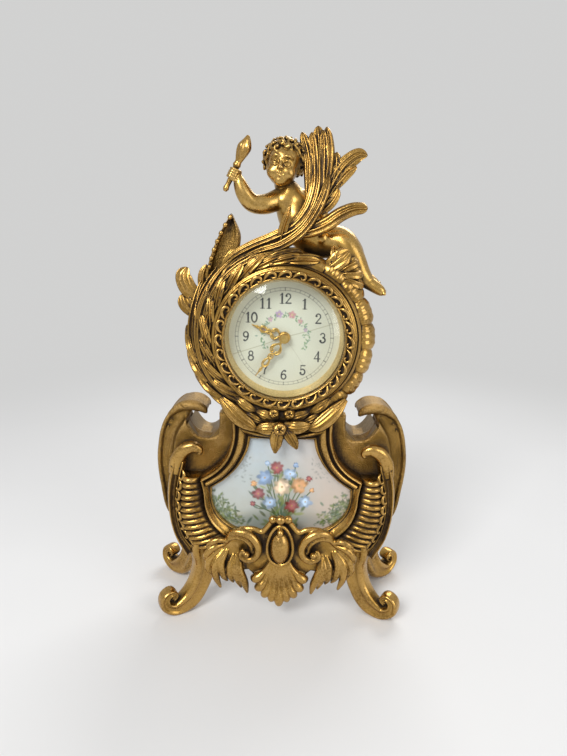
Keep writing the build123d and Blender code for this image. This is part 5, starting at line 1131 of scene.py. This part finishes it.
CREST_HOLLOW = [(0.0, -9.0), (0.10, -10.6), (0.28, -9.2), (0.55, -8.2), (0.80, -9.6), (0.90, -12.0),
                (0.97, -12.0), (1.0, -10.0)]
CREST_INNER = [(-27.0, 226.0), (-27.6, 233.0), (-26.8, 243.0), (-31.4, 254.4)]
CREST_OUTER = [(-49.0, 210.0), (-45.2, 228.0), (-39.4, 242.6), (-32.2, 255.0)]
crest_profile = smooth_profile(CREST_HOLLOW, [(1.0, -7.0), (0.5, -6.2), (0.0, -7.0)], count=30)
crest_wing = skin(strip(CREST_INNER, CREST_OUTER, crest_profile, count=60))
CREST_LOBES = [   # cup, blunt end, stations
    (0.22, 0.20, [(-46.0, -11.0, 203.0, 2.6, 1.8), (-53.0, -11.4, 207.6, 4.4, 1.8),
                  (-58.6, -10.8, 213.6, 5.2, 1.7), (-60.4, -9.8, 219.6, 4.6, 1.5),
                  (-58.4, -9.0, 224.0, 3.2, 1.2)]),
    (0.22, 0.24, [(-48.0, -12.0, 195.0, 2.4, 1.7), (-54.0, -12.4, 198.0, 3.8, 1.8),
                  (-59.0, -12.0, 202.6, 4.4, 1.7), (-61.4, -11.0, 208.4, 3.4, 1.3)]),
    (0.0, 0.20, [(-44.0, -12.0, 206.0, 2.0, 1.6), (-48.0, -12.8, 213.0, 3.2, 1.9),
                 (-48.4, -12.8, 220.0, 3.0, 1.7), (-46.4, -12.4, 226.0, 1.8, 1.1)]),
    (0.0, 0.20, [(-36.0, -13.0, 216.0, 2.0, 1.6), (-35.6, -13.8, 224.0, 2.8, 1.7),
                 (-32.4, -13.6, 231.0, 2.6, 1.5), (-28.6, -13.0, 235.4, 1.6, 1.0)]),
    (0.0, 0.20, [(-30.0, -14.0, 222.0, 1.8, 1.5), (-28.6, -15.0, 229.0, 2.4, 1.6),
                 (-24.8, -14.8, 234.6, 2.0, 1.3), (-22.0, -14.4, 237.6, 1.2, 0.9)]),
]
piece("crest_wing", [crest_wing], STIPPLED_GILT)
piece("crest_lobes", [leaf(stations, cup=cup, grooves=2, blunt=blunt)
                      for cup, blunt, stations in CREST_LOBES], GILT)
BEAD = [(-1.7, 0.0, 0.0, 0.3, 0.3), (-1.2, 0.0, 0.0, 1.0, 0.9), (0.0, 0.0, 0.0, 1.35, 1.2),
        (1.2, 0.0, 0.0, 1.0, 0.9), (1.7, 0.0, 0.0, 0.3, 0.3)]
BEADS = 9
beaded_edge = arc_inputs((-46.6, -12.2, 214.0), (-41.0, -12.2, 237.0), (-32.6, -12.0, 252.8), BEADS)
scatter("crest_beads", skin(sweep(BEAD, round_profile(8), count=9)), along_arc, beaded_edge, GILT)

# Shell-like gadroons swell down the right side of the drum, cast in one with it, each overlapping the
# next. A small fan of petals spreads above them.

SHELLS = 7


def gadroon(share, theta):
    """How far the bed swells: shells with a narrow crease between them, fine ribs and a turned-up lip."""
    turn = (share * SHELLS) % 1.0
    body = 1 - abs(2 * turn - 1) ** 5
    front = np.clip(np.cos(theta + 0.9), 0, 1)
    lip = np.exp(-((theta + 0.25) / 0.30) ** 2)
    ribs = 0.022 * math.cos(2 * math.pi * 4 * turn) * front
    return 0.83 + (0.15 + 0.06 * turn) * body + (ribs + 0.07 * lip) * body


RIM_ROLL = [(22, 43.3, -22.6, 0.8, 0.8), (50, 43.5, -23.4, 1.6, 1.3), (90, 43.5, -23.6, 1.7, 1.3),
            (130, 43.5, -23.2, 1.6, 1.3), (150, 43.6, -22.4, 0.8, 0.8)]
BROAD_PETAL = [(20.0, -18.4, 223.0, 2.0, 1.4), (26.0, -20.6, 227.0, 4.6, 1.8),
               (31.6, -20.6, 231.6, 5.6, 1.8), (36.0, -18.8, 235.6, 4.6, 1.4)]
PETAL_TIPS = [(27.6, 237.4, 2.4), (41.6, 230.4, 3.2), (44.4, 223.4, 3.4), (45.6, 216.4, 3.0)]
right = [band(46.6, 7.2, 27, 148, count=420, lobes=gadroon), round_drum(RIM_ROLL, tilt=0, grooves=1),
         leaf(BROAD_PETAL, (0.2, -1.0, 0.3), cup=0.16, grooves=3, blunt=0.3)]
for x, z, w in PETAL_TIPS:
    petal = [(27.0, -18.0, 221.0, 1.4, 1.2), (0.5 * (27 + x), -20.8, 0.5 * (222 + z), 0.9 * w, 1.7),
             (0.9 * x + 2.7, -18.8, 0.92 * z + 17.6, w, 1.5), (x, -16.6, z, 0.8 * w, 1.0)]
    right.append(leaf(petal, (0.3, -1.0, 0.3), grooves=2, blunt=0.2, count=40))
piece("shell_border", right, GILT, ["right_shells"])

# Garland under the dial: cast laurel leaves and rosebuds gathered towards the middle, where a knot of
# leaves hangs over the top of the plaque.

VEINED = {"grooves": 5, "relief": 0.5}
LAUREL = [   # angle at the foot, radius, way round, span
    (142, 45.4, 1, 18), (151, 51.2, 1, 17), (160, 46.6, 1, 17), (167, 53.2, 1, 16),
    (218, 45.4, -1, 18), (209, 51.2, -1, 17), (200, 46.6, -1, 17), (193, 53.0, -1, 16),
]


def rosebud(place, near, far, count):
    """Five petals round a place (x, y, z, turn in degrees); near and far, the two ends of a petal, are
    (reach, y, half width, half thickness)."""
    x, y, z, turned = place
    petals = []
    for i in range(5):
        t = math.radians(72 * i + turned)
        stations = [(x, y, z, 1.0, 1.0)]
        for reach, height, wide, thick in (near, far):
            stations.append((x + reach * math.cos(t), height, z + reach * math.sin(t), wide, thick))
        petals.append(leaf(stations, blunt=0.3, count=count))
    return petals


garland = [band(47.5, 7.4, 146, 214)]
for start, r, way, span in LAUREL:
    stations = [(start, r, -22.6, 1.4, 1.2), (start + way * span * 0.35, r + 0.8, -24.6, 3.9, 1.6),
                (start + way * span * 0.7, r + 1.4, -24.8, 3.4, 1.4),
                (start + way * span, r + 1.4, -23.2, 0.8, 0.6)]
    garland.append(round_drum(stations, tilt=10, count=50, **VEINED))
for side, tip in ((-1, 128.6), (1, 130.6)):
    stations = [(38.0 * side, -22.0, 148.0, 1.6, 1.2), (32.0 * side, -25.0, 142.0, 4.4, 1.8),
                (25.4 * side, -26.8, 136.0, 5.0, 2.0), (19.0 * side, -27.6, 131.8, 3.4, 1.5),
                (15.0 * side, -27.0, tip, 0.7, 0.6)]
    garland.append(leaf(stations, count=60, **VEINED))
for a, r, size in ((175, 44.8, 2.8), (187, 44.6, 2.6)):
    x, z = r * math.sin(math.radians(a)), DIAL_Z + r * math.cos(math.radians(a))
    garland += rosebud((x, -25.0, z, a), (0.6 * size, -26.6, 1.9, 1.1), (1.3 * size, -25.4, 1.4, 0.7), 20)
piece("laurel_garland", garland, GILT, ["lower_garland"])
KNOT = [
    [(-1.0, -26.6, 133.0, 1.8, 1.6), (-6.4, -28.6, 131.0, 4.0, 1.8), (-12.0, -28.4, 130.6, 3.6, 1.6),
     (-16.6, -27.0, 129.4, 1.0, 0.7)],
    [(1.0, -26.6, 133.0, 1.8, 1.6), (6.4, -28.8, 131.8, 4.2, 1.8), (12.4, -28.4, 132.4, 3.6, 1.6),
     (17.4, -27.0, 133.0, 1.0, 0.7)],
    [(0.0, -27.0, 132.0, 1.8, 1.6), (-3.0, -29.4, 127.0, 4.0, 1.9), (-3.8, -29.2, 120.6, 3.4, 1.7),
     (-4.2, -27.6, 115.0, 1.0, 0.8)],
    [(1.0, -27.0, 132.0, 1.8, 1.6), (4.2, -29.0, 127.0, 3.6, 1.8), (7.2, -28.6, 122.0, 3.0, 1.6),
     (9.0, -27.4, 117.8, 0.9, 0.7)],
]
knot = [leaf(stations, count=50, **VEINED) for stations in KNOT]
knot += rosebud((-1.5, -28.4, 131.0, 18), (2.2, -30.4, 2.3, 1.2), (4.2, -29.2, 1.7, 0.8), 22)
piece("waist_knot", knot, GILT, ["waist_bow"])

# Plume on top: one cast acanthus branch that sweeps up from the left over the drum, fans out in broad
# leaves behind the child's shoulder and throws off two curling ones to the right.

PLUME = [   # grooves, blunt end, stations
    (4, 0.05, [(-40.0, -15.5, 219.0, 1.6, 1.4), (-31.0, -17.0, 229.6, 3.2, 1.9),
               (-20.0, -18.0, 236.0, 3.8, 2.1), (-8.0, -18.6, 241.0, 4.0, 2.2),
               (6.0, -19.0, 248.0, 4.6, 2.4), (13.8, -18.6, 258.0, 5.2, 2.4),
               (17.4, -16.4, 270.0, 5.4, 2.3), (17.6, -12.6, 282.0, 4.6, 2.0),
               (17.2, -8.6, 293.0, 3.8, 1.7), (16.6, -6.2, 303.4, 2.8, 1.3)]),
    (3, 0.08, [(-30.0, -18.0, 227.0, 1.4, 1.3), (-16.0, -20.0, 233.6, 2.8, 1.8),
               (-2.0, -21.0, 238.4, 3.2, 1.9), (9.0, -21.4, 246.4, 3.2, 1.9),
               (16.0, -20.6, 256.4, 3.0, 1.8), (20.6, -18.4, 267.0, 2.8, 1.6),
               (23.0, -15.0, 277.0, 1.8, 1.1)]),
    (3, 0.14, [(12.5, -16.4, 262.0, 2.4, 1.5), (12.4, -14.4, 274.0, 3.2, 1.7),
               (11.6, -11.6, 286.0, 3.4, 1.6), (9.6, -9.4, 294.0, 3.0, 1.4), (7.4, -8.4, 299.6, 2.2, 1.1)]),
    (3, 0.14, [(20.0, -15.6, 268.0, 2.6, 1.6), (22.2, -12.6, 280.0, 3.4, 1.8),
               (22.8, -9.6, 290.0, 3.4, 1.6), (22.2, -7.4, 297.6, 2.8, 1.3),
               (21.4, -6.4, 303.0, 2.0, 1.0)]),
    (3, 0.14, [(14.6, -17.0, 262.0, 2.4, 1.5), (15.0, -14.6, 275.0, 3.0, 1.7),
               (14.4, -11.4, 288.0, 3.0, 1.5), (13.0, -9.0, 299.6, 2.2, 1.1)]),
    (3, 0.14, [(19.6, -16.6, 264.0, 2.4, 1.5), (20.2, -13.8, 277.0, 3.0, 1.7),
               (20.2, -10.4, 290.0, 3.0, 1.5), (19.4, -8.0, 301.0, 2.2, 1.1)]),
    (3, 0.16, [(22.0, -15.2, 264.0, 2.6, 1.6), (25.4, -12.8, 273.0, 3.4, 1.8),
               (27.2, -10.6, 282.0, 3.2, 1.6), (27.4, -9.2, 289.4, 2.4, 1.3)]),
    (4, 0.12, [(17.0, -16.4, 260.0, 2.6, 1.6), (23.6, -14.0, 268.6, 4.0, 1.9),
               (28.6, -12.0, 277.6, 4.6, 2.0), (34.6, -10.8, 284.6, 4.4, 1.9),
               (40.6, -10.6, 288.0, 3.6, 1.6), (44.6, -11.2, 287.6, 2.4, 1.2)]),
    (2, 0.2, [(25.0, -14.0, 268.0, 2.0, 1.4), (30.6, -12.8, 274.6, 2.8, 1.6),
              (35.8, -12.0, 279.8, 2.6, 1.5), (38.8, -12.2, 281.4, 1.8, 1.1)]),
    (3, 0.08, [(4.0, -18.4, 244.0, 2.6, 1.6), (14.0, -19.2, 246.2, 3.8, 1.9),
               (22.6, -19.8, 250.0, 4.2, 2.0), (30.4, -20.0, 255.4, 4.0, 1.9),
               (38.0, -20.2, 258.4, 3.6, 1.7), (45.0, -20.6, 258.8, 2.8, 1.4)]),
    (2, 0.2, [(19.0, -17.0, 256.0, 1.8, 1.4), (23.6, -16.4, 260.0, 2.6, 1.5),
              (27.4, -15.6, 265.4, 2.4, 1.3), (28.8, -15.2, 269.4, 1.6, 1.0)]),
    (2, 0.0, [(-3.4, -19.0, 240.0, 2.2, 1.6), (-1.6, -21.6, 248.0, 2.6, 1.6), (0.4, -22.4, 254.0, 1.9, 1.3),
              (2.0, -22.4, 259.6, 0.6, 0.6)]),
]
piece("plume_leaves", [leaf(stations, grooves=grooves, relief=0.7, blunt=blunt, count=120)
                       for grooves, blunt, stations in PLUME], GILT, ["plume"])

# The child: a plump putto, cast in the round and burnished, who leans back on the plume with one leg
# stretched down the drum and lifts a torch in one hand. A plain round face under short curls.

BURNISHED = gilt_finish("burnished_gilt", bright=(0.47, 0.29, 0.078), deep=(0.28, 0.16, 0.037),
                        rough=0.28, grain=(0.15, 300.0, 0.0003))
TRUNK = [(0, -6, 270, 4.8), (2, -4, 264, 7.6), (4.5, -3.4, 257, 9.2), (11, -2, 247, 10.2),
         (20, 0, 241, 9.6), (27, 1, 240, 6.5)]
BELLY, PALM = (5.5, -8.0, 252.5), (-28.4, -12.8, 275.2)
CHEST = [(-2.6, -8.6, 262.4), (7.6, -8.4, 262.0), (-6.0, -6.0, 263.6), (12.0, -5.0, 263.4)]
RAISED_ARM = [(-4, -6, 264.4, 5.0), (-12, -10, 260.6, 4.9), (-20, -12, 260.8, 4.3),
              (-25, -13, 266.6, 3.8), (-27.6, -13.6, 273.0, 2.5)]
THUMB = [(-28.0, -13.6, 273.6, 1.2), (-29.6, -16.4, 272.6, 1.0), (-31.4, -16.6, 273.2, 0.8)]
RESTING_ARM = [(10, -4, 264.4, 5.0), (18, -2, 257.4, 4.6), (22, -5, 247.6, 3.7), (21, -10, 241.6, 2.8)]
NEAR_LEG = [(22, -1, 240.6, 9.0), (33, -6, 239.6, 7.6), (39, -9, 231.6, 6.2), (45, -9.6, 221.4, 4.6),
            (48.8, -10, 217.4, 3.2)]
NEAR_FOOT = [(48.8, -10, 217.4, 3.2), (53.0, -11.6, 215.0, 3.0), (57.0, -13.2, 212.2, 2.2)]
FAR_LEG = [(20, 4, 239.6, 8.5), (33, 8, 241.4, 7.0), (41, 9, 235.4, 5.6), (45, 9, 225.4, 4.2),
           (48.6, 8, 220.4, 3.0)]
FAR_FOOT = [(48.6, 8, 220.4, 3.0), (52.6, 6.2, 217.8, 2.8), (56.0, 4.2, 215.8, 2.0)]
putto = Clay((-38, -28, 204), (64, 20, 303), step=0.5)
putto.limb(TRUNK, soft=2.5, count=30)
putto.ball(BELLY, 7.6, soft=3.0)
for muscle in CHEST:
    putto.ball(muscle, 4.8, soft=3.0)
putto.limb(RAISED_ARM, soft=1.6, count=26)
putto.ball(PALM, (2.5, 2.7, 3.2), soft=1.4)
for finger in range(4):
    x, z = -31.6 + 0.68 * finger, 274.0 + 1.34 * finger
    putto.limb([(x + 2.9, -13.0, z - 0.8, 0.95), (x + 1.6, -16.2, z - 0.4, 0.9),
                (x - 0.6, -17.0, z + 0.5, 0.85), (x - 2.2, -15.2, z + 1.1, 0.7)], soft=0.3)
putto.limb(THUMB, soft=0.5)
putto.limb(RESTING_ARM, soft=1.6, count=26)
putto.limb(NEAR_LEG, soft=2.2, count=30)
putto.limb(NEAR_FOOT, soft=1.4, count=12)
for toe in range(5):
    putto.ball((58.2 + 0.3 * toe, -15.2 + 1.15 * toe, 211.2 + 0.35 * toe), 1.15 - 0.09 * toe, soft=0.4)
putto.limb(FAR_LEG, soft=2.0, count=26)
putto.limb(FAR_FOOT, soft=1.4, count=12)
for toe in range(5):
    putto.ball((57.2 + 0.3 * toe, 1.8 + 1.1 * toe, 214.8 + 0.35 * toe), 1.1 - 0.09 * (4 - toe), soft=0.4)
SKULL = np.array((-2.5, -9.0, 281.6))


def on_head(x, y, z):
    """A point of the head, from its middle; the head leans a little towards the raised arm."""
    lean, look = math.radians(6), math.radians(-8)
    x, y = x * math.cos(look) - y * math.sin(look), x * math.sin(look) + y * math.cos(look)
    x, z = x * math.cos(lean) + z * math.sin(lean), z * math.cos(lean) - x * math.sin(lean)
    return SKULL + (x, y, z)


head = Clay(SKULL - 17.0, SKULL + 17.0, step=0.34)


def swelling(x, y, z, radii, soft, add=True):
    """A rounded form of the head, such as a cheek."""
    head.ball(on_head(x, y, z), radii, soft, add)


def fold(stations, soft, add=True, count=0):
    """A drawn-out form of the head, such as a lip, through stations (x, y, z, radius)."""
    head.limb([(*on_head(x, y, z), r) for x, y, z, r in stations], soft, add, count)


UPPER_LID = [(1.6, -9.9, 0.5, 0.34), (3.5, -10.3, 1.5, 0.44), (5.3, -8.9, 0.5, 0.3)]
LOWER_LID = [(1.8, -9.7, -0.5, 0.26), (3.5, -9.9, -1.2, 0.32), (5.1, -8.8, -0.4, 0.24)]
BROW = [(1.5, -10.0, 3.5, 0.35), (3.6, -9.7, 4.1, 0.5), (5.9, -7.9, 2.9, 0.3)]
NOSE = [(0, -9.7, 1.8, 0.8), (0, -10.4, -0.4, 0.95), (0, -11.3, -2.1, 1.2)]
UPPER_LIP = [(-2.3, -9.0, -4.9, 0.3), (-0.8, -9.9, -4.7, 0.5), (0, -9.9, -4.9, 0.45),
             (0.8, -9.9, -4.7, 0.5), (2.3, -9.0, -4.9, 0.3)]
LOWER_LIP = [(-1.6, -9.1, -6.1, 0.35), (0, -9.7, -6.4, 0.6), (1.6, -9.1, -6.1, 0.35)]
MOUTH = [(-2.2, -9.6, -5.3, 0.15), (0, -10.5, -5.5, 0.22), (2.2, -9.6, -5.3, 0.15)]
swelling(0, 1.0, 2.0, (9.6, 10.2, 10.2), soft=1.0)                              # skull
swelling(0, -2.6, -3.2, (8.0, 7.4, 8.2), soft=2.4)                              # lower face
swelling(0, -5.0, 3.2, (7.2, 4.8, 5.2), soft=2.0)                               # forehead
swelling(0, -6.9, -9.2, (3.0, 2.5, 2.2), soft=2.6)                              # chin
swelling(0, 2.6, 3.4, (10.6, 10.8, 10.4), soft=0.6)                             # hair under the curls
fold([(0, 2.0, -8.0, 5.0), (2.0, 4.0, -14.0, 5.0)], soft=1.5)                   # neck
for side in (-1, 1):
    swelling(4.3 * side, -6.6, -4.6, (3.7, 3.3, 3.5), soft=2.0)                 # cheek
    swelling(3.5 * side, -10.9, 0.2, (2.3, 1.6, 1.5), soft=1.0, add=False)      # eye socket
    swelling(3.5 * side, -8.5, 0.1, (1.75, 1.5, 1.35), soft=0.2)                # eye
    for stations, soft in ((UPPER_LID, 0.25), (LOWER_LID, 0.3), (BROW, 0.9)):
        fold([(x * side, y, z, r) for x, y, z, r in stations], soft, count=10)
    swelling(8.8 * side, 0.4, -1.8, (1.3, 2.3, 2.7), soft=0.6)                  # ear
    swelling(1.15 * side, -10.7, -2.4, (0.85, 0.9, 0.75), soft=0.4)             # side of the nose
fold(NOSE, soft=0.9)
fold(UPPER_LIP, soft=0.5)
fold(LOWER_LIP, soft=0.6)
fold(MOUTH, soft=0.25, add=False)
rng = np.random.default_rng(5)
LOCKS = 100
GOLDEN_ANGLE = 2.39996
for i in range(LOCKS):
    up = 1 - 2 * (i + 0.5) / LOCKS
    turn = GOLDEN_ANGLE * i
    flat = math.sqrt(1 - up * up)
    x, y, z = flat * math.cos(turn), flat * math.sin(turn), up
    if (y < -0.46 and z < 0.42) or z < -0.60:      # the face and the neck stay bare
        continue
    middle = np.array((x * 11.0, 2.6 + y * 11.0, 3.4 + z * 10.6))
    out = np.array((x, y, z))
    across = unit(np.cross(out, (0.3, 0.2, 1.0)))
    upwards = np.cross(out, across)
    spin = rng.uniform(0, 6.28)
    way = 1 if i % 2 else -1
    size = rng.uniform(2.1, 3.1)
    twist = []
    for t in np.linspace(0, 1, 12):
        r, a = size * (1 - 0.80 * t), spin + way * 6.4 * t
        p = middle + across * r * math.cos(a) + upwards * r * math.sin(a) + out * (2.2 * t - 0.5)
        twist.append((*on_head(*p), 0.98 - 0.15 * t))
    head.limb(twist, soft=0.15)
piece("putto_figure", [putto.shape(), head.shape()], BURNISHED, ["putto"])

# The torch in the raised hand: a cast and turned handle with rings, which swells into a pointed flame
# with twisted ridges.

TORCH_Y = -14.0
TORCH = [(-35.4, 266.8, 0.9), (-34.8, 268.2, 1.7), (-34.0, 269.8, 1.4), (-32.4, 273.0, 1.5),
         (-30.6, 276.6, 1.6), (-29.2, 279.4, 1.7), (-28.6, 280.8, 2.3), (-27.9, 282.2, 1.9),
         (-26.6, 285.0, 2.6), (-25.2, 288.2, 3.3), (-24.2, 290.6, 3.5), (-23.2, 293.2, 2.5),
         (-22.2, 296.4, 0.7)]
rings = sweep([(x, TORCH_Y, z, r, r) for x, z, r in TORCH], round_profile(36), count=110)
centre = rings.mean(1, keepdims=True)
along = np.linspace(0, 1, len(rings))[:, None]
turn = np.linspace(0, 2 * math.pi, rings.shape[1], endpoint=False)[None]
ridge = 1 + 0.16 * np.cos(5 * turn + 9 * along) * np.clip((along - 0.5) * 5, 0, 1)
piece("torch_turning", [skin(centre + (rings - centre) * ridge[..., None])], GILT, ["torch"])

# Painted shade, dirt and wear of the gilding: each point of the gilt pieces looks out over a few
# millimetres, and where other metal shuts it in, it is painted brown, both for the shade that falls there
# and for old lacquer and dust that have stayed.

RAYS = 12
REACH, LIFT = 0.010, 0.0003          # how far a point looks, and from how far above the surface
CELL, LIKE_NORMALS = 0.0009, 1.5     # points in one cell with like normals are looked at once
UPRIGHT, FADE = 0.35, 0.6            # how far rays lean to the normal, how much less far metal counts
points, normals, faces, counts = [], [], [], []
total = 0
for made in gilt_pieces:
    mesh = made.data
    co = np.empty(len(mesh.vertices) * 3, np.float32)
    no = np.empty(len(mesh.vertices) * 3, np.float32)
    mesh.vertices.foreach_get("co", co)
    mesh.vertices.foreach_get("normal", no)
    tri = np.empty(len(mesh.loops), np.int32)
    mesh.loops.foreach_get("vertex_index", tri)
    starts = np.empty(len(mesh.polygons), np.int32)
    totals = np.empty(len(mesh.polygons), np.int32)
    mesh.polygons.foreach_get("loop_start", starts)
    mesh.polygons.foreach_get("loop_total", totals)
    for corner in range(1, int(totals.max()) - 1):
        keep = totals > corner + 1
        begin = starts[keep]
        fan = [tri[begin], tri[begin + corner], tri[begin + corner + 1]]
        faces.append(np.stack(fan, -1) + total)
    points.append(co.reshape(-1, 3))
    normals.append(no.reshape(-1, 3))
    counts.append(len(mesh.vertices))
    total += len(mesh.vertices)
points, normals = np.vstack(points), np.vstack(normals)
tree = BVHTree.FromPolygons(points.tolist(), np.vstack(faces).tolist())
key = np.round(np.hstack([points / CELL, normals * LIKE_NORMALS])).astype(np.int64)
_, first, same = np.unique(key, axis=0, return_index=True, return_inverse=True)
rng = np.random.default_rng(3)
aims = unit(rng.normal(size=(RAYS, 3)))
shut = np.zeros(len(first))
for i, index in enumerate(first.tolist()):
    normal = normals[index]
    origin = Vector(points[index] + normal * LIFT)
    blocked = 0.0
    for aim in aims:
        aim = aim if aim @ normal > 0 else -aim
        distance = tree.ray_cast(origin, Vector(unit(aim + normal * UPRIGHT)), REACH)[3]
        if distance is not None:
            blocked += 1.0 - FADE * distance / REACH
    shut[i] = blocked / RAYS
# how shut in each point is; the gilt finishes paint shade and dirt, and a highlight with wear, from it
recess = shut[same.ravel()]
start = 0
for made, count in zip(gilt_pieces, counts):
    layer = made.data.attributes.new("recess", "FLOAT", "POINT")
    layer.data.foreach_set("value", recess[start:start + count].astype(np.float32))
    start += count

# Floor, background, lamps and camera: a pale floor that keeps the clock's shadow and runs into a backdrop
# of one tone, three soft lamps, and a camera close by that looks slightly down.

scene = bpy.context.scene
scene.view_settings.view_transform = "Standard"
BACKDROP = (0.64, 0.64, 0.635, 1.0)
FLOOR_REACH = 6.0


def looked_at(finish):
    """1 for rays from the camera, from shiny metal and through glass; 0 for rays that carry light."""
    ways = ("Is Camera Ray", "Is Glossy Ray", "Is Transmission Ray")
    return sum(finish.node("ShaderNodeLightPath", {}, {}, out=way) for way in ways).ramp(0.0, 1.0)


floor_finish = Finish("pale_floor", Roughness=0.75)
floor_tone = floor_finish.noise(scale=6.0, detail=2.0)
floor_finish.feed(Base_Color=floor_finish.mix(floor_tone, (0.70, 0.70, 0.695), (0.74, 0.74, 0.735)))
away = floor_finish.node("ShaderNodeVectorMath", {"operation": "LENGTH"},
                         {0: floor_finish.place()}, out=1)
paper = floor_finish.node("ShaderNodeEmission", {}, {"Color": BACKDROP})
lit = Link(floor_finish, floor_finish.shader.outputs[0])
fade = away.ramp(0.25, 0.85) * looked_at(floor_finish)
floor_finish.surface(floor_finish.node("ShaderNodeMixShader", {}, {0: fade, 1: lit, 2: paper}))
floor_mesh = bpy.data.meshes.new("floor")
corners = [(x * FLOOR_REACH, y * FLOOR_REACH, 0) for x, y in ((-1, -1), (1, -1), (1, 1), (-1, 1))]
floor_mesh.from_pydata(corners, [], [(0, 1, 2, 3)])
floor_mesh.materials.append(floor_finish.material)
floor = bpy.data.objects.new("floor", floor_mesh)
scene.collection.objects.link(floor)


class Surroundings(Finish):
    """The world's node tree, built with the same methods as a material's."""

    def __init__(self, name):
        self.world = bpy.data.worlds.new(name)
        self.world.use_nodes = True
        self.tree = self.world.node_tree

    def surface(self, link):
        self.tree.links.new(link.socket, self.tree.nodes["World Output"].inputs[0])
        return self


studio = Surroundings("studio")
room = studio.node("ShaderNodeBackground", {}, {"Color": (0.50, 0.50, 0.51, 1.0), "Strength": 0.8})
backdrop = studio.node("ShaderNodeBackground", {}, {"Color": BACKDROP})
studio.surface(studio.node("ShaderNodeMixShader", {}, {0: looked_at(studio), 1: room, 2: backdrop}))
scene.world = studio.world


def lamp(name, place, target, size, watts):
    """A soft rectangular lamp that points at its target."""
    data = bpy.data.lights.new(name, "AREA")
    data.shape = "RECTANGLE"
    data.size, data.size_y = size
    data.energy = watts
    made = bpy.data.objects.new(name, data)
    scene.collection.objects.link(made)
    aim = (Vector(target) - Vector(place)).to_track_quat("-Z", "Y")
    made.matrix_world = Matrix.Translation(place) @ aim.to_matrix().to_4x4()


lamp("key_lamp", (-0.45, -0.85, 0.85), (0, 0, 0.15), size=(0.5, 0.5), watts=11.5)
lamp("fill_lamp", (0.8, -0.7, 0.45), (0, 0, 0.15), size=(0.6, 0.8), watts=4.0)
lamp("back_lamp", (0.3, 0.8, 0.9), (0, 0, 0.2), size=(0.8, 0.4), watts=6.0)

CAMERA_PLACE, LOOKS_DOWN, TILT = (0.0, -0.339, 0.240), 14.05, 1.2
camera = bpy.data.objects.new("camera", bpy.data.cameras.new("camera"))
scene.collection.objects.link(camera)
camera.data.sensor_width = 36.0
camera.data.lens = 26.0
camera.data.clip_start = 0.01
camera.matrix_world = (Matrix.Translation(CAMERA_PLACE)
                       @ Matrix.Rotation(math.radians(90.0 - LOOKS_DOWN), 4, "X")
                       @ Matrix.Rotation(math.radians(TILT), 4, "Z"))
scene.camera = camera
